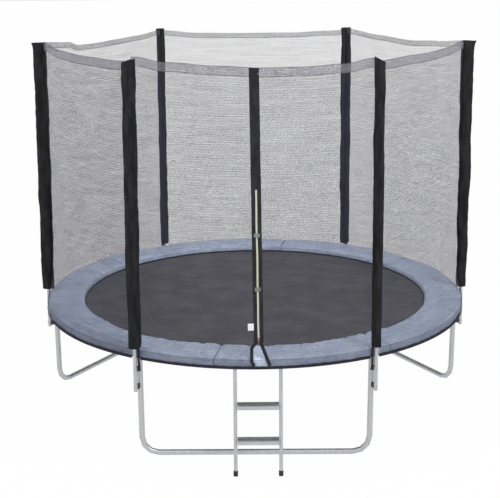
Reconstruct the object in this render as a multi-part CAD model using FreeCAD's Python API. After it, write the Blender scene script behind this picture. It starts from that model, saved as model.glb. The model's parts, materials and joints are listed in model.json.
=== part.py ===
import FreeCAD, Part
import math
import os

os.makedirs("parts", exist_ok=True)
V = FreeCAD.Vector

# A garden trampoline with six poles and an outer safety net.
# Millimetres and degrees. The origin is on the ground under the middle of the mat, Z is up,
# and the door of the net is in the middle of the -Y side.

# Layout
POLE_COUNT = 6
SPRINGS_PER_SECTION = 8

# Tubes and small round pieces are drawn with flats
LEG_SIDES = 12
RAIL_SIDES = 8
POLE_SIDES = 8
SMALL_SIDES = 6
SPRING_SIDES = 4
ROD_SIDES = 4

# Round top rail
RAIL_RADIUS = 1506.0
RAIL_HEIGHT = 712.0
RAIL_DIAMETER = 38.0
RAIL_WALL = 1.5
RAIL_END_GAP = 4.0
SLOT_LENGTH = 6.5
SLOT_WIDTH = 5.4

# T-shaped sockets
SOCKET_WALL = 2.2
SOCKET_FIT = 0.35
SOCKET_REACH = 79.0
STUB_LENGTH = 50.0

# Legs
LEG_DIAMETER = 38.0
LEG_WALL = 1.5
LEG_JOINT_HEIGHT = 310.0
LEG_BEND_RADIUS = 110.0
LEG_BEND_SPANS = 3
SPIGOT_LENGTH = 44.0
SPIGOT_FIT = 0.4
SHOULDER_LENGTH = 5.5

# Net poles
POLE_DIAMETER = 25.0
POLE_WALL = 1.2
POLE_STANDOFF = 17.5
POLE_LEAN = 37.0
POLE_FOOT_HEIGHT = 475.0
POLE_JOINT_HEIGHT = 1500.0
POLE_SPIGOT = 80.0
POLE_TOP_DROP = 14.0
BOLT_HEIGHTS = (620.0, 500.0)
BOLT_DIAMETER = 6.0
BOLT_FIT = 0.3
BOLT_HEAD = 12.0
BOLT_HEAD_HEIGHT = 5.0
SPACER_WIDTH = 21.0
SPACER_HEIGHT = 30.0
SEAT_FIT = 0.2
CAP_FLANGE = 3.0
CAP_DEPTH = 14.0

# Foam and sleeves on the poles
FOAM_DIAMETER = 60.0
FOAM_FIT = 0.3
FOAM_LIFT = 8.0
FOAM_TOP_DROP = 22.0
SLEEVE_LIFT = 14.0
SLEEVE_RADIAL = 92.0
SLEEVE_ACROSS = 65.0
SLEEVE_CLOTH = 1.5
SLEEVE_WAVE = 2.0
SLEEVE_SPANS = 2

# Jumping mat, V-rings and springs
MAT_THICKNESS = 1.2
MAT_RISE = 3.0
MAT_EDGE_WIDTH = 40.0
MAT_EDGE_THICKNESS = 3.6
RING_LENGTH = 34.0
RING_WIDTH = 36.0
RING_BAR = 4.0
SPRING_LENGTH = 172.0
SPRING_DIAMETER = 13.0
SPRING_WIRE = 3.2
SPRING_TAPER = 30.0
HOOK_DEPTH = 6.0
HOOK_RISE = 1.0

# Spring pad
PAD_SECTIONS = 8
PAD_FIRST_SEAM = 35.0
PAD_SPANS = 6
PAD_WIDTH = 269.0
PAD_LIFT = 25.0
PAD_THICKNESS = 23.0
PAD_CROWN = 5.0
PAD_INNER_SHOULDER = 16.0
PAD_OUTER_SHOULDER = 21.0
PAD_SEAM_GAP = 0.6
PAD_STRAP_TURN = 17.5
PAD_STRAP_WIDTH = 20.0
PAD_STRAP_THICKNESS = 1.5
PAD_STRAP_FIT = 1.0
PAD_STRAP_SEWN = 2.0
SKIRT_STANDOFF = 10.0
SKIRT_DROP = 60.0
SKIRT_THICKNESS = 4.0

# Net
NET_HEIGHT = 1829.0
NET_CLOTH = 1.2
NET_STANDOFF = 11.0
NET_DROP = 68.0
NET_SPANS = 7
NET_SAG = 44.0
NET_END_GAP = 0.6
NET_TOP_END_GAP = 2.5
TOP_HEM_WIDTH = 56.0
BOTTOM_HEM_WIDTH = 26.0
HEM_THICKNESS = 1.4
SEWN_GAP = 0.2

# Straps at the sleeves' feet
STRAP_WIDTH = 18.0
STRAP_THICKNESS = 1.5
STRAP_LENGTH = 160.0
STRAP_CLEARANCE = 1.5
LOCK_HEIGHT = 20.0
LOCK_THICKNESS = 4.0
LOCK_ABOVE_RAIL = 3.0
WIRE_DIAMETER = 3.5

# Door in the front panel, measured up the slope of the panel from the net's lower edge
DOOR_OFFSET = 22.0
DOOR_TURN = 0.75
DOOR_STRIP_WIDTH = 62.0
DOOR_STRIP_THICKNESS = 1.5
DOOR_FOOT = 172.0
ZIP_FOOT = 180.0
ZIP_LENGTH = 950.0
ZIP_WIDTH = 11.0
ZIP_THICKNESS = 1.2
SLIDER_LENGTH = 24.0
SLIDER_WIDTH = 16.0
SLIDER_PLATE = 2.2
LUG_LENGTH = 6.0
LUG_HEAD = 2.0
PULL_PIN = 2.4
PULL_WIDTH = 9.0
PULL_LENGTH = 26.0
PULL_THICKNESS = 1.8
PULL_BOSS = 1.4
RUNNING_GAP = 0.4
BUCKLE_UPS = (512.0, 849.0)
BUCKLE_LENGTH = 40.0
BUCKLE_SOCKET_LENGTH = 22.5
BUCKLE_WIDTH = 22.0
BUCKLE_HEIGHT = 8.0
BUCKLE_WALL = 1.6
BUCKLE_BAR = 1.8
BUCKLE_SLOT = 2.6
BUCKLE_WINDOW = 7.0
CLIP_PRONG = 14.0
CLIP_PRONG_WIDTH = 3.2
TAB_WIDTH = 15.0
TAB_LENGTH = 18.0
DOOR_STRAP_WIDTH = 22.0
DOOR_STRAP_LEFT = ((-14.0, 178.0), (-44.0, 138.0), (-46.0, 52.0), (-32.0, 6.0))
DOOR_STRAP_RIGHT = ((12.0, 178.0), (74.0, 6.0))

# Ladder
LADDER_OFFSET = 14.0
LADDER_SPACING = 290.0
LADDER_TUBE = 25.0
LADDER_WALL = 1.5
LADDER_CLEARANCE = 4.0
LADDER_LEAN = 9.0
HOOK_WIDTH = 14.0
HOOK_THICKNESS = 2.5
HOOK_CLEARANCE = 0.8
HOOK_WELD = 40.0
STEP_HEIGHTS = (235.0, 460.0)
STEP_DEPTH = 78.0
STEP_LIP = 24.0
STEP_SHEET = 2.0
LADDER_FOOT_DIAMETER = 32.0
LADDER_FOOT_HEIGHT = 32.0
LADDER_FOOT_SOLE = 5.0

# Derived sizes
sector = 360 / POLE_COUNT
first_pole = (sector / 2 - 90) % sector
spring_pitch = sector / SPRINGS_PER_SECTION
rail_radius = RAIL_DIAMETER / 2
rail_flat = rail_radius * math.cos(math.pi / RAIL_SIDES)
socket_inner = rail_radius + SOCKET_FIT
socket_outer = socket_inner + SOCKET_WALL
socket_flat = socket_outer * math.cos(math.pi / RAIL_SIDES)
leg_radius = LEG_DIAMETER / 2
leg_head = RAIL_HEIGHT - socket_flat - SEAT_FIT
spigot_radius = leg_radius - LEG_WALL - SPIGOT_FIT
pole_radius = POLE_DIAMETER / 2
pole_inside = pole_radius - POLE_WALL - SEAT_FIT
pole_ring = RAIL_RADIUS + rail_radius + POLE_STANDOFF + pole_radius
pad_under = RAIL_HEIGHT + PAD_LIFT
pad_top = pad_under + PAD_THICKNESS
pad_outer = RAIL_RADIUS + rail_radius + SKIRT_STANDOFF
pad_inner = pad_outer - PAD_WIDTH
net_top = pad_top + NET_HEIGHT
net_foot = pad_top - NET_DROP
net_radius = pad_outer + NET_STANDOFF
panel_end = SLEEVE_ACROSS / 2 + NET_END_GAP
panel_half_turn = sector / 2 - math.degrees(panel_end / net_radius)
sleeve_foot = pad_top + SLEEVE_LIFT
mat_top = RAIL_HEIGHT + MAT_RISE
UP = V(0, 0, 1)
OUT = V(1, 0, 0)
ACROSS = V(0, 1, 0)


def polar(radius, angle, height=0.0):
    """A point at a distance from the Z axis, an angle from +X and a height."""
    turn = math.radians(angle)
    return V(radius * math.cos(turn), radius * math.sin(turn), height)


def turned(shape, angle):
    """A copy of a shape, turned about the Z axis."""
    copy = shape.copy()
    copy.rotate(V(0, 0, 0), UP, angle)
    return copy


def around(shape, count, first=0.0):
    """Copies of a shape, evenly spaced about the Z axis."""
    return [turned(shape, first + 360 * k / count) for k in range(count)]


def at_poles(shape):
    return around(shape, POLE_COUNT, first_pole)


def between_poles(shape):
    return around(shape, POLE_COUNT, first_pole + sector / 2)


def at_springs(shape):
    return around(shape, POLE_COUNT * SPRINGS_PER_SECTION, first_pole + spring_pitch / 2)


def save(name, solids):
    """Writes one sub-part, made of one solid or of several separate ones."""
    solids = solids if isinstance(solids, list) else [solids]
    shape = solids[0] if len(solids) == 1 else Part.makeCompound(solids)
    shape.exportStep("parts/" + name + ".step")


def save_each(name, shapes):
    for number, shape in enumerate(shapes, 1):
        save(f"{name}_{number}", shape)


def face(points):
    return Part.Face(Part.makePolygon(points + points[:1]))


def side_faces(a, b, c, d):
    """One flat four-sided face, or two triangles that fold along the diagonal further from the Z axis."""
    normal = (b - a).cross(c - a)
    if abs(normal.dot(d - a)) < 1e-4 * normal.Length:
        return [face([a, b, c, d])]
    if math.hypot(a.x + c.x, a.y + c.y) > math.hypot(b.x + d.x, b.y + d.y):
        return [face([a, b, c]), face([a, c, d])]
    return [face([a, b, d]), face([b, c, d])]


def skin(outlines):
    """A solid between successive outlines that have the same number of corners."""
    faces = [face(outlines[0]), face(outlines[-1])]
    for first, second in zip(outlines, outlines[1:]):
        for k in range(len(first)):
            faces += side_faces(first[k - 1], first[k], second[k], second[k - 1])
    solid = Part.makeSolid(Part.makeShell(faces))
    if solid.Volume < 0:
        solid.reverse()
    return solid


def ring(centre, along, across, radius, sides, squeeze=1.0):
    """Corners of a polygon round a centre line. A flat faces across, and squeeze narrows the other way."""
    along = V(along).normalize()
    across = (V(across) - along * along.dot(across)).normalize()
    other = along.cross(across)
    corners = []
    for k in range(sides):
        turn = 2 * math.pi * (k + 0.5) / sides
        corners.append(centre + across * (radius * math.cos(turn)) + other * (radius * squeeze * math.sin(turn)))
    return corners


def tube(stations, wall, across, sides):
    """A tube through stations of centre, direction and outer radius, open at both ends."""
    outer = [ring(centre, along, across, radius, sides) for centre, along, radius in stations]
    inner = [ring(centre, along, across, radius - wall, sides) for centre, along, radius in stations]
    for end, way in ((0, -1), (-1, 1)):
        push = V(stations[end][1]).normalize() * way
        inner[end] = [corner + push for corner in inner[end]]
    return skin(outer).cut(skin(inner))


def rod(stations, across, sides=ROD_SIDES):
    """A solid rod through stations of centre and radius."""
    points = [centre for centre, radius in stations]
    outlines = []
    for k, (centre, radius) in enumerate(stations):
        before = (centre - points[k - 1]).normalize() if k else V(0, 0, 0)
        after = (points[k + 1] - centre).normalize() if k + 1 < len(points) else V(0, 0, 0)
        outlines.append(ring(centre, before + after, across, radius, sides))
    return skin(outlines)


def prism(corners, push):
    return face(corners).extrude(push)


def block(low, high):
    """A box between two corners."""
    return Part.makeBox(high[0] - low[0], high[1] - low[1], high[2] - low[2], V(*low))


def rail_distance(angle):
    """The rail's distance from the Z axis: it is straight between stations one spring pitch apart."""
    half = spring_pitch / 2
    off_middle = angle % spring_pitch - half
    return RAIL_RADIUS * math.cos(math.radians(half)) / math.cos(math.radians(off_middle))


def rail_station(angle, radius):
    return polar(rail_distance(angle), angle, RAIL_HEIGHT), polar(1, angle + 90), radius


def pole_distance(height):
    """The poles lean in a little towards their tops."""
    return pole_ring - POLE_LEAN * (height - pad_top) / NET_HEIGHT


def pole_point(height):
    return V(pole_distance(height), 0, height)


pole_along = (pole_point(net_top) - pole_point(pad_top)).normalize()


# The rail is a ring of curved tubes, slotted for the spring hooks on its upper inner side
slot_tilt = 2 * math.pi / RAIL_SIDES
slot_out = V(-math.sin(slot_tilt), 0, math.cos(slot_tilt))
slot_along = V(math.cos(slot_tilt), 0, math.sin(slot_tilt))
slot_centre = V(rail_distance(spring_pitch / 2), 0, RAIL_HEIGHT) + slot_out * rail_flat


def spring_slot(angle):
    side = ACROSS * (SLOT_WIDTH / 2)
    reach = slot_along * (SLOT_LENGTH / 2)
    start = slot_centre + slot_out * RAIL_WALL
    corners = [start + side + reach, start + side - reach, start - side - reach, start - side + reach]
    return turned(prism(corners, slot_out * (-3 * RAIL_WALL)), angle)


def rail_section():
    end = math.degrees(RAIL_END_GAP / 2 / RAIL_RADIUS)
    angles = [end] + [spring_pitch * k for k in range(1, SPRINGS_PER_SECTION)] + [sector - end]
    section = tube([rail_station(angle, rail_radius) for angle in angles], RAIL_WALL, UP, RAIL_SIDES)
    slots = [spring_slot(spring_pitch * (k + 0.5)) for k in range(SPRINGS_PER_SECTION)]
    return section.cut(Part.makeCompound(slots))


def rail_socket():
    """A bent sleeve over two rail ends, with a stub below it that the leg slips over."""
    turn = math.degrees(SOCKET_REACH / RAIL_RADIUS)
    past = turn * (1 + SOCKET_WALL / SOCKET_REACH)
    outer, bore = [
        skin([ring(c, a, UP, r, RAIL_SIDES) for c, a, r in (rail_station(t, size) for t in (-end, 0.0, end))])
        for size, end in ((socket_outer, turn), (socket_inner, past))
    ]
    foot = V(RAIL_RADIUS, 0, leg_head - STUB_LENGTH)
    rise = UP * (STUB_LENGTH + SEAT_FIT + SOCKET_WALL / 2)
    stub = prism(ring(foot, UP, OUT, spigot_radius, LEG_SIDES), rise)
    stub_bore = prism(ring(foot - UP, UP, OUT, spigot_radius - LEG_WALL, LEG_SIDES), UP + UP * STUB_LENGTH)
    return outer.fuse(stub).cut(bore).cut(stub_bore).removeSplitter()


# Legs: an upright below each socket, and U-shaped bases that each take two uprights
def bolt_hole(height):
    start = V(RAIL_RADIUS - 2 * leg_radius, 0, height)
    corners = ring(start, OUT, UP, BOLT_DIAMETER / 2 + BOLT_FIT, SMALL_SIDES)
    return prism(corners, OUT * (pole_distance(height) + 2 * pole_radius - start.x))


def bolt_holes():
    return Part.makeCompound([bolt_hole(height) for height in BOLT_HEIGHTS])


def leg_upright():
    ends = [(V(RAIL_RADIUS, 0, height), UP, leg_radius) for height in (LEG_JOINT_HEIGHT, leg_head)]
    return tube(ends, LEG_WALL, OUT, LEG_SIDES).cut(bolt_holes())


def leg_base():
    """A U-shaped tube on the ground under one sector, centred on +X, with a narrowed end on each side."""
    middle = RAIL_RADIUS * math.cos(math.radians(sector / 2))
    side = RAIL_RADIUS * math.sin(math.radians(sector / 2))
    half = [
        (V(middle, side, LEG_JOINT_HEIGHT + SPIGOT_LENGTH), -UP, spigot_radius),
        (V(middle, side, LEG_JOINT_HEIGHT - SEAT_FIT), -UP, spigot_radius),
        (V(middle, side, LEG_JOINT_HEIGHT - SHOULDER_LENGTH), -UP, leg_radius),
    ]
    axis_height = leg_radius * math.cos(math.pi / LEG_SIDES)
    bend_centre = V(middle, side - LEG_BEND_RADIUS, axis_height + LEG_BEND_RADIUS)
    for step in range(LEG_BEND_SPANS + 1):
        turn = math.pi / 2 * step / LEG_BEND_SPANS
        out = V(0, math.cos(turn), -math.sin(turn))
        half.append((bend_centre + out * LEG_BEND_RADIUS, V(0, -math.sin(turn), -math.cos(turn)), leg_radius))
    other = [(V(c.x, -c.y, c.z), V(a.x, a.y, -a.z), r) for c, a, r in reversed(half)]
    return tube(half + other, LEG_WALL, OUT, LEG_SIDES)


# Poles, with their spacers, bolts, nuts and end caps
def pole_tube(heights):
    stations = [(pole_point(height), pole_along, radius) for height, radius in heights]
    return tube(stations, POLE_WALL, OUT, POLE_SIDES)


def pole_lower():
    ends = ((POLE_FOOT_HEIGHT, pole_radius), (POLE_JOINT_HEIGHT - SEAT_FIT, pole_radius))
    return pole_tube(ends).cut(bolt_holes())


def pole_upper():
    return pole_tube((
        (POLE_JOINT_HEIGHT - POLE_SPIGOT, pole_inside),
        (POLE_JOINT_HEIGHT, pole_inside),
        (POLE_JOINT_HEIGHT + SHOULDER_LENGTH, pole_radius),
        (net_top - POLE_TOP_DROP, pole_radius),
    ))


def prism_on_pole(low, high, radius):
    return skin([ring(pole_point(height), pole_along, OUT, radius, POLE_SIDES) for height in (low, high)])


def pole_spacer(height):
    """A moulded block with a saddle for the leg and one for the pole."""
    low = (RAIL_RADIUS, -SPACER_WIDTH / 2, height - SPACER_HEIGHT / 2)
    high = (pole_distance(height), SPACER_WIDTH / 2, height + SPACER_HEIGHT / 2)
    leg = prism(ring(V(RAIL_RADIUS, 0, 0), UP, OUT, leg_radius + SEAT_FIT, LEG_SIDES), UP * RAIL_HEIGHT)
    pole = prism_on_pole(height - SPACER_HEIGHT, height + SPACER_HEIGHT, pole_radius + SEAT_FIT)
    return block(low, high).cut(leg).cut(pole).cut(bolt_hole(height))


def pole_bolt(height):
    """A long bolt with its head outside the pole, through the pole, the spacer and the leg."""
    under_head = V(pole_distance(height) + pole_radius + SEAT_FIT, 0, height)
    behind_leg = RAIL_RADIUS - leg_radius - SEAT_FIT
    head = prism(ring(under_head, OUT, UP, BOLT_HEAD / 2, SMALL_SIDES), OUT * BOLT_HEAD_HEIGHT)
    shank = prism(ring(under_head, OUT, UP, BOLT_DIAMETER / 2, SMALL_SIDES), OUT * (behind_leg - under_head.x))
    return head.fuse(shank).removeSplitter()


def pole_nut(height):
    """A closed nut behind the leg."""
    start = V(RAIL_RADIUS - leg_radius - 2 * SEAT_FIT, 0, height)
    return prism(ring(start, OUT, UP, BOLT_HEAD / 2, SMALL_SIDES), OUT * -BOLT_HEAD_HEIGHT)


def pole_cap(height, way):
    """A plastic plug in the end of a pole. way is +1 at the top and -1 at the foot."""
    lip = height + way * SEAT_FIT
    plug, flange = [
        skin([ring(pole_point(z), pole_along, OUT, radius, POLE_SIDES) for z, radius in ends])
        for ends in (
            ((height - way * CAP_DEPTH, pole_inside), (lip, pole_inside)),
            ((lip, pole_radius), (lip + way * CAP_FLANGE, pole_inside)),
        )
    ]
    return plug.fuse(flange).removeSplitter()


# Foam tubes and cloth sleeves on the poles
def foam_tube():
    outer = prism_on_pole(sleeve_foot + FOAM_LIFT, net_top - FOAM_TOP_DROP, FOAM_DIAMETER / 2)
    return outer.cut(prism_on_pole(pad_top, net_top, pole_radius + FOAM_FIT))


def sleeve_skin(inset, past):
    """A flattened tube of cloth whose width varies a little on its way up."""
    outlines = []
    for k in range(SLEEVE_SPANS + 1):
        share = k / SLEEVE_SPANS
        height = sleeve_foot - past + (net_top - sleeve_foot + 2 * past) * share
        radial = SLEEVE_RADIAL / 2 + SLEEVE_WAVE * math.sin(4 * share) - inset
        across = SLEEVE_ACROSS / 2 - inset
        outlines.append(ring(pole_point(height), pole_along, OUT, radial, POLE_SIDES, across / radial))
    return skin(outlines)


def pole_sleeve():
    return sleeve_skin(0.0, 0.0).cut(sleeve_skin(SLEEVE_CLOTH, SLEEVE_CLOTH))


# Jumping mat, V-rings and springs
mat_flat = slot_centre.x - SPRING_LENGTH - RING_LENGTH
ring_start = mat_flat + RUNNING_GAP
ring_tip = ring_start + RING_LENGTH
ring_low = mat_top - MAT_THICKNESS / 2 - RING_BAR / 2
ring_slope = math.atan2(RING_WIDTH / 2, RING_LENGTH)
ring_inner_tip = ring_tip - RING_BAR / math.sin(ring_slope)


def mat_plate(flat, low, high):
    """A many-sided plate with a flat towards each spring."""
    corner = flat / math.cos(math.radians(spring_pitch / 2))
    count = POLE_COUNT * SPRINGS_PER_SECTION
    return prism([polar(corner, first_pole + spring_pitch * k, low) for k in range(count)], UP * (high - low))


def jumping_mat():
    """The bed with its sewn edge, folded under all round."""
    bed = mat_plate(mat_flat, mat_top - MAT_EDGE_THICKNESS, mat_top)
    under = mat_plate(mat_flat - MAT_EDGE_WIDTH, mat_top - 2 * MAT_EDGE_THICKNESS, mat_top - MAT_THICKNESS)
    return bed.cut(under)


def v_ring():
    """A triangle of rod whose base is sewn to the mat's edge and whose point takes a spring."""
    base = ring_start + RING_BAR
    inner_half = (ring_inner_tip - base) * math.tan(ring_slope)
    half = RING_WIDTH / 2
    outer, hole = [
        prism([V(x, -y, ring_low), V(tip, 0, ring_low), V(x, y, ring_low)], UP * RING_BAR)
        for x, y, tip in ((ring_start, half, ring_tip), (base, inner_half, ring_inner_tip))
    ]
    return outer.cut(hole)


def spring():
    """A closed coil with tapered ends, one hook through the V-ring and one through the rail's slot."""
    wire = SPRING_WIRE / 2
    seat = ring_inner_tip - (wire + RUNNING_GAP) / math.sin(ring_slope)
    in_ring = V(seat, 0, ring_low - RUNNING_GAP - wire)
    over_ring = V(seat, 0, ring_low + RING_BAR + RUNNING_GAP + wire + HOOK_RISE)
    pulled_in = slot_centre - slot_along * (SLOT_LENGTH / 2 - wire - SEAT_FIT)
    over_slot = pulled_in + slot_out * HOOK_DEPTH
    in_slot = pulled_in - slot_out * HOOK_DEPTH
    line = (over_slot - over_ring).normalize() * SPRING_TAPER
    coil = SPRING_DIAMETER / 2
    stations = (
        (in_ring, wire), (over_ring, wire), (over_ring + line, coil),
        (over_slot - line, coil), (over_slot, wire), (in_slot, wire),
    )
    return rod(stations, ACROSS, SPRING_SIDES)


# Spring pad: sewn sections with a crown and a skirt that hangs outside the rail
def pad_outline(angle):
    crown = (pad_inner + pad_outer) / 2
    skirt_foot = pad_top - SKIRT_DROP
    corners = (
        (pad_inner + PAD_CROWN, pad_under),
        (pad_inner, pad_top - PAD_INNER_SHOULDER),
        (pad_inner + PAD_INNER_SHOULDER, pad_top - PAD_CROWN),
        (crown, pad_top + PAD_CROWN),
        (pad_outer - PAD_OUTER_SHOULDER, pad_top - PAD_CROWN),
        (pad_outer, pad_top - PAD_OUTER_SHOULDER),
        (pad_outer, skirt_foot),
        (pad_outer - SKIRT_THICKNESS, skirt_foot),
        (pad_outer - SKIRT_THICKNESS, pad_under),
    )
    return [polar(radius, angle, height) for radius, height in corners]


def pad_strap():
    """A strap sewn under the pad that holds it to the rail."""
    inner = rail_flat + PAD_STRAP_FIT
    outer = inner + PAD_STRAP_THICKNESS
    high = pad_under + PAD_STRAP_SEWN - RAIL_HEIGHT
    outline = (
        (-outer, high), (-outer, -outer), (outer, -outer), (outer, high),
        (inner, high), (inner, -inner), (-inner, -inner), (-inner, high),
    )
    corners = [V(RAIL_RADIUS + x, -PAD_STRAP_WIDTH / 2, RAIL_HEIGHT + z) for x, z in outline]
    return turned(prism(corners, ACROSS * PAD_STRAP_WIDTH), PAD_STRAP_TURN)


def pad_section():
    gap = math.degrees(PAD_SEAM_GAP / 2 / pad_inner)
    span = 360 / PAD_SECTIONS - 2 * gap
    cushion = skin([pad_outline(gap + span * k / PAD_SPANS) for k in range(PAD_SPANS + 1)])
    return cushion.fuse(pad_strap()).removeSplitter()


# Net panels between the sleeves, straight along the top and round along the pad
panel_shares = [2 * k / NET_SPANS - 1 for k in range(NET_SPANS + 1)]


def wall_row(distance_at, height):
    """The inner and outer corners of a panel's wall at one height, as one outline."""
    inner, outer = [[distance_at(share, side) for share in panel_shares] for side in (0, 1)]
    return [V(p.x, p.y, height) for p in inner + outer[::-1]]


def net_wall(inset, thickness):
    """A wall from an arc at the net's foot to a straight line at its top, centred on +X."""
    top = pole_distance(net_top)
    flat = top * math.cos(math.radians(sector / 2))
    half = top * math.sin(math.radians(sector / 2)) - panel_end - NET_TOP_END_GAP

    def at_foot(share, side):
        return polar(net_radius + inset + thickness * side, panel_half_turn * share)

    def at_top(share, side):
        return V(flat + inset + thickness * side, half * share, 0)

    return skin([wall_row(at_foot, net_foot), wall_row(at_top, net_top)])


def sagging_band(width):
    """A cutter that keeps what lies within a width below the net's sagging top edge."""
    reach = pole_distance(net_top) * math.sin(math.radians(sector / 2))
    top = [V(0, reach * share, net_top - NET_SAG * (1 - share * share)) for share in panel_shares]
    bottom = [corner - UP * width for corner in top]
    return prism(top + bottom[::-1], OUT * (2 * net_radius))


def net_panel():
    return net_wall(0.0, NET_CLOTH).common(sagging_band(2 * NET_HEIGHT))


def hem(cutter):
    return net_wall(NET_CLOTH + SEWN_GAP, HEM_THICKNESS).common(cutter)


def foot_band():
    return block((0, -net_radius, net_foot - NET_DROP), (2 * net_radius, net_radius, net_foot + BOTTOM_HEM_WIDTH))


# The door lies on the flat middle strip of the front panel
half_span = math.radians(panel_half_turn / NET_SPANS)
door_foot_distance = (net_radius + NET_CLOTH) * math.cos(half_span)
door_top_distance = pole_distance(net_top) * math.cos(math.radians(sector / 2)) + NET_CLOTH
door_tilt = math.atan2(door_foot_distance - door_top_distance, net_top - net_foot)
door_out = V(0, -math.cos(door_tilt), math.sin(door_tilt))
door_turn = FreeCAD.Rotation(door_out, DOOR_TURN)
door_across = door_turn.multVec(OUT)
door_rise = door_turn.multVec(V(0, math.sin(door_tilt), math.cos(door_tilt)))
door_origin = V(DOOR_OFFSET, -door_foot_distance, net_foot)
door_height = (net_top - NET_SAG - net_foot) / math.cos(door_tilt)
strip_face = SEWN_GAP + DOOR_STRIP_THICKNESS
chain_face = strip_face + ZIP_THICKNESS
tab_face = strip_face + STRAP_THICKNESS


def on_door(across, up, out=0.0):
    """A point on the front panel: across the door, up its slope and out from the net."""
    return door_origin + door_across * across + door_rise * up + door_out * out


def door_slab(outline, out, thickness):
    return prism([on_door(across, up, out) for across, up in outline], door_out * thickness)


def door_block(across, up, out):
    """A block on the front panel between two values each way."""
    left, right = sorted(across)
    low, high = sorted(up)
    return door_slab(((left, low), (right, low), (right, high), (left, high)), out[0], out[1] - out[0])


def door_strip():
    half = DOOR_STRIP_WIDTH / 2
    return door_block((-half, half), (DOOR_FOOT, door_height), (SEWN_GAP, strip_face))


def strip_gap():
    """A cutter for the space that the strip takes in the top hem."""
    half = DOOR_STRIP_WIDTH / 2 + SEWN_GAP
    return door_block((-half, half), (DOOR_FOOT, door_height + TOP_HEM_WIDTH), (-NET_STANDOFF, NET_STANDOFF))


def door_hole():
    """A cutter for the open triangle of the net below the zip, between the two straps."""
    left, right = DOOR_STRAP_LEFT, DOOR_STRAP_RIGHT
    outline = ((0.0, DOOR_FOOT), left[1], left[2], (left[3][0], -NET_STANDOFF), (right[1][0], -NET_STANDOFF))
    return door_slab(outline, -NET_STANDOFF, 2 * NET_STANDOFF)


def zip_chain():
    half = ZIP_WIDTH / 2
    return door_block((-half, half), (ZIP_FOOT, ZIP_FOOT + ZIP_LENGTH), (strip_face, chain_face))


slider_face = chain_face + RUNNING_GAP + SLIDER_PLATE
pull_eye = PULL_PIN / 2 + RUNNING_GAP
pull_head = pull_eye + PULL_BOSS
pin_out = slider_face + RUNNING_GAP + pull_head
slider_foot = ZIP_FOOT - RUNNING_GAP
pin_up = slider_foot + SLIDER_LENGTH / 3


def zip_slider():
    """A plate over the chain with a flange down each side and two lugs that hold the pin."""
    half = SLIDER_WIDTH / 2
    waist = ZIP_WIDTH / 2
    low, head, corner = strip_face + RUNNING_GAP, slider_foot + SLIDER_LENGTH, slider_foot + SLIDER_LENGTH / 3
    right_edge = [(waist, slider_foot), (half, corner), (half, head)]
    outline = right_edge + [(-across, up) for across, up in reversed(right_edge)]
    body = door_slab(outline, low, slider_face - low)
    channel = ZIP_WIDTH / 2 + RUNNING_GAP
    room = (low - 1, chain_face + RUNNING_GAP)
    body = body.cut(door_block((-channel, channel), (slider_foot - 1, head + 1), room))
    lugs = []
    for side in (-1, 1):
        across = (side * (PULL_WIDTH / 2 + RUNNING_GAP), side * half)
        up = (pin_up - LUG_LENGTH / 2, pin_up + LUG_LENGTH / 2)
        lugs.append(door_block(across, up, (slider_face - SLIDER_PLATE / 2, pin_out + LUG_HEAD)))
    pin = Part.makeCylinder(PULL_PIN / 2, SLIDER_WIDTH, on_door(-half, pin_up, pin_out), door_across)
    return body.fuse(lugs + [pin]).removeSplitter()


def zip_pull():
    """A flat tab that hangs from a round eye on the slider's pin."""
    half = PULL_WIDTH / 2
    tip = half - PULL_BOSS
    outline = ((-half, pin_up), (-tip, pin_up - PULL_LENGTH), (tip, pin_up - PULL_LENGTH), (half, pin_up))
    tab = door_slab(outline, pin_out - PULL_THICKNESS / 2, PULL_THICKNESS)
    start = on_door(-half, pin_up, pin_out)
    boss = prism(ring(start, door_across, door_out, pull_head, POLE_SIDES), door_across * PULL_WIDTH)
    eye = Part.makeCylinder(pull_eye, PULL_WIDTH, start, door_across)
    return tab.fuse(boss).cut(eye).removeSplitter()


buckle_back = max(tab_face, chain_face) + RUNNING_GAP
buckle_front = buckle_back + BUCKLE_HEIGHT
parting = BUCKLE_SOCKET_LENGTH - BUCKLE_LENGTH / 2


def strap_eye(edge, way, up):
    """A cutter for the slot that a buckle half's tab goes through."""
    across = (edge + way * BUCKLE_BAR, edge + way * (BUCKLE_BAR + BUCKLE_SLOT))
    return door_block(across, (up - TAB_WIDTH / 2, up + TAB_WIDTH / 2), (buckle_back - 1, buckle_front + 1))


def buckle_socket(up):
    """The hollow half of a side-release buckle, open towards its clip and at both sides."""
    half = BUCKLE_WIDTH / 2
    left = -BUCKLE_LENGTH / 2
    inside = half - BUCKLE_WALL
    out = (buckle_back + BUCKLE_WALL, buckle_front - BUCKLE_WALL)
    start = parting - CLIP_PRONG - BUCKLE_WALL
    body = door_block((left, parting), (up - half, up + half), (buckle_back, buckle_front))
    hollow = door_block((start, parting + 1), (up - inside, up + inside), out)
    window = (parting - BUCKLE_WALL - BUCKLE_WINDOW, parting - BUCKLE_WALL)
    windows = door_block(window, (up - half - 1, up + half + 1), out)
    return body.cut(hollow).cut(windows).cut(strap_eye(left, 1, up))


def buckle_clip(up):
    """The half that pulls out: a bar for its tab, two side prongs and a tongue in the socket."""
    half = BUCKLE_WIDTH / 2
    right = BUCKLE_LENGTH / 2
    start = parting + RUNNING_GAP
    out = (buckle_back + BUCKLE_WALL + RUNNING_GAP, buckle_front - BUCKLE_WALL - RUNNING_GAP)
    inside = half - BUCKLE_WALL - RUNNING_GAP
    bar = door_block((start, right), (up - half, up + half), (buckle_back, buckle_front))
    bar = bar.cut(strap_eye(right, -1, up))
    prongs = []
    for low in (-inside, -CLIP_PRONG_WIDTH / 2, inside - CLIP_PRONG_WIDTH):
        prongs.append(door_block((start - CLIP_PRONG, start + 1), (up + low, up + low + CLIP_PRONG_WIDTH), out))
    return bar.fuse(prongs).removeSplitter()


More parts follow.
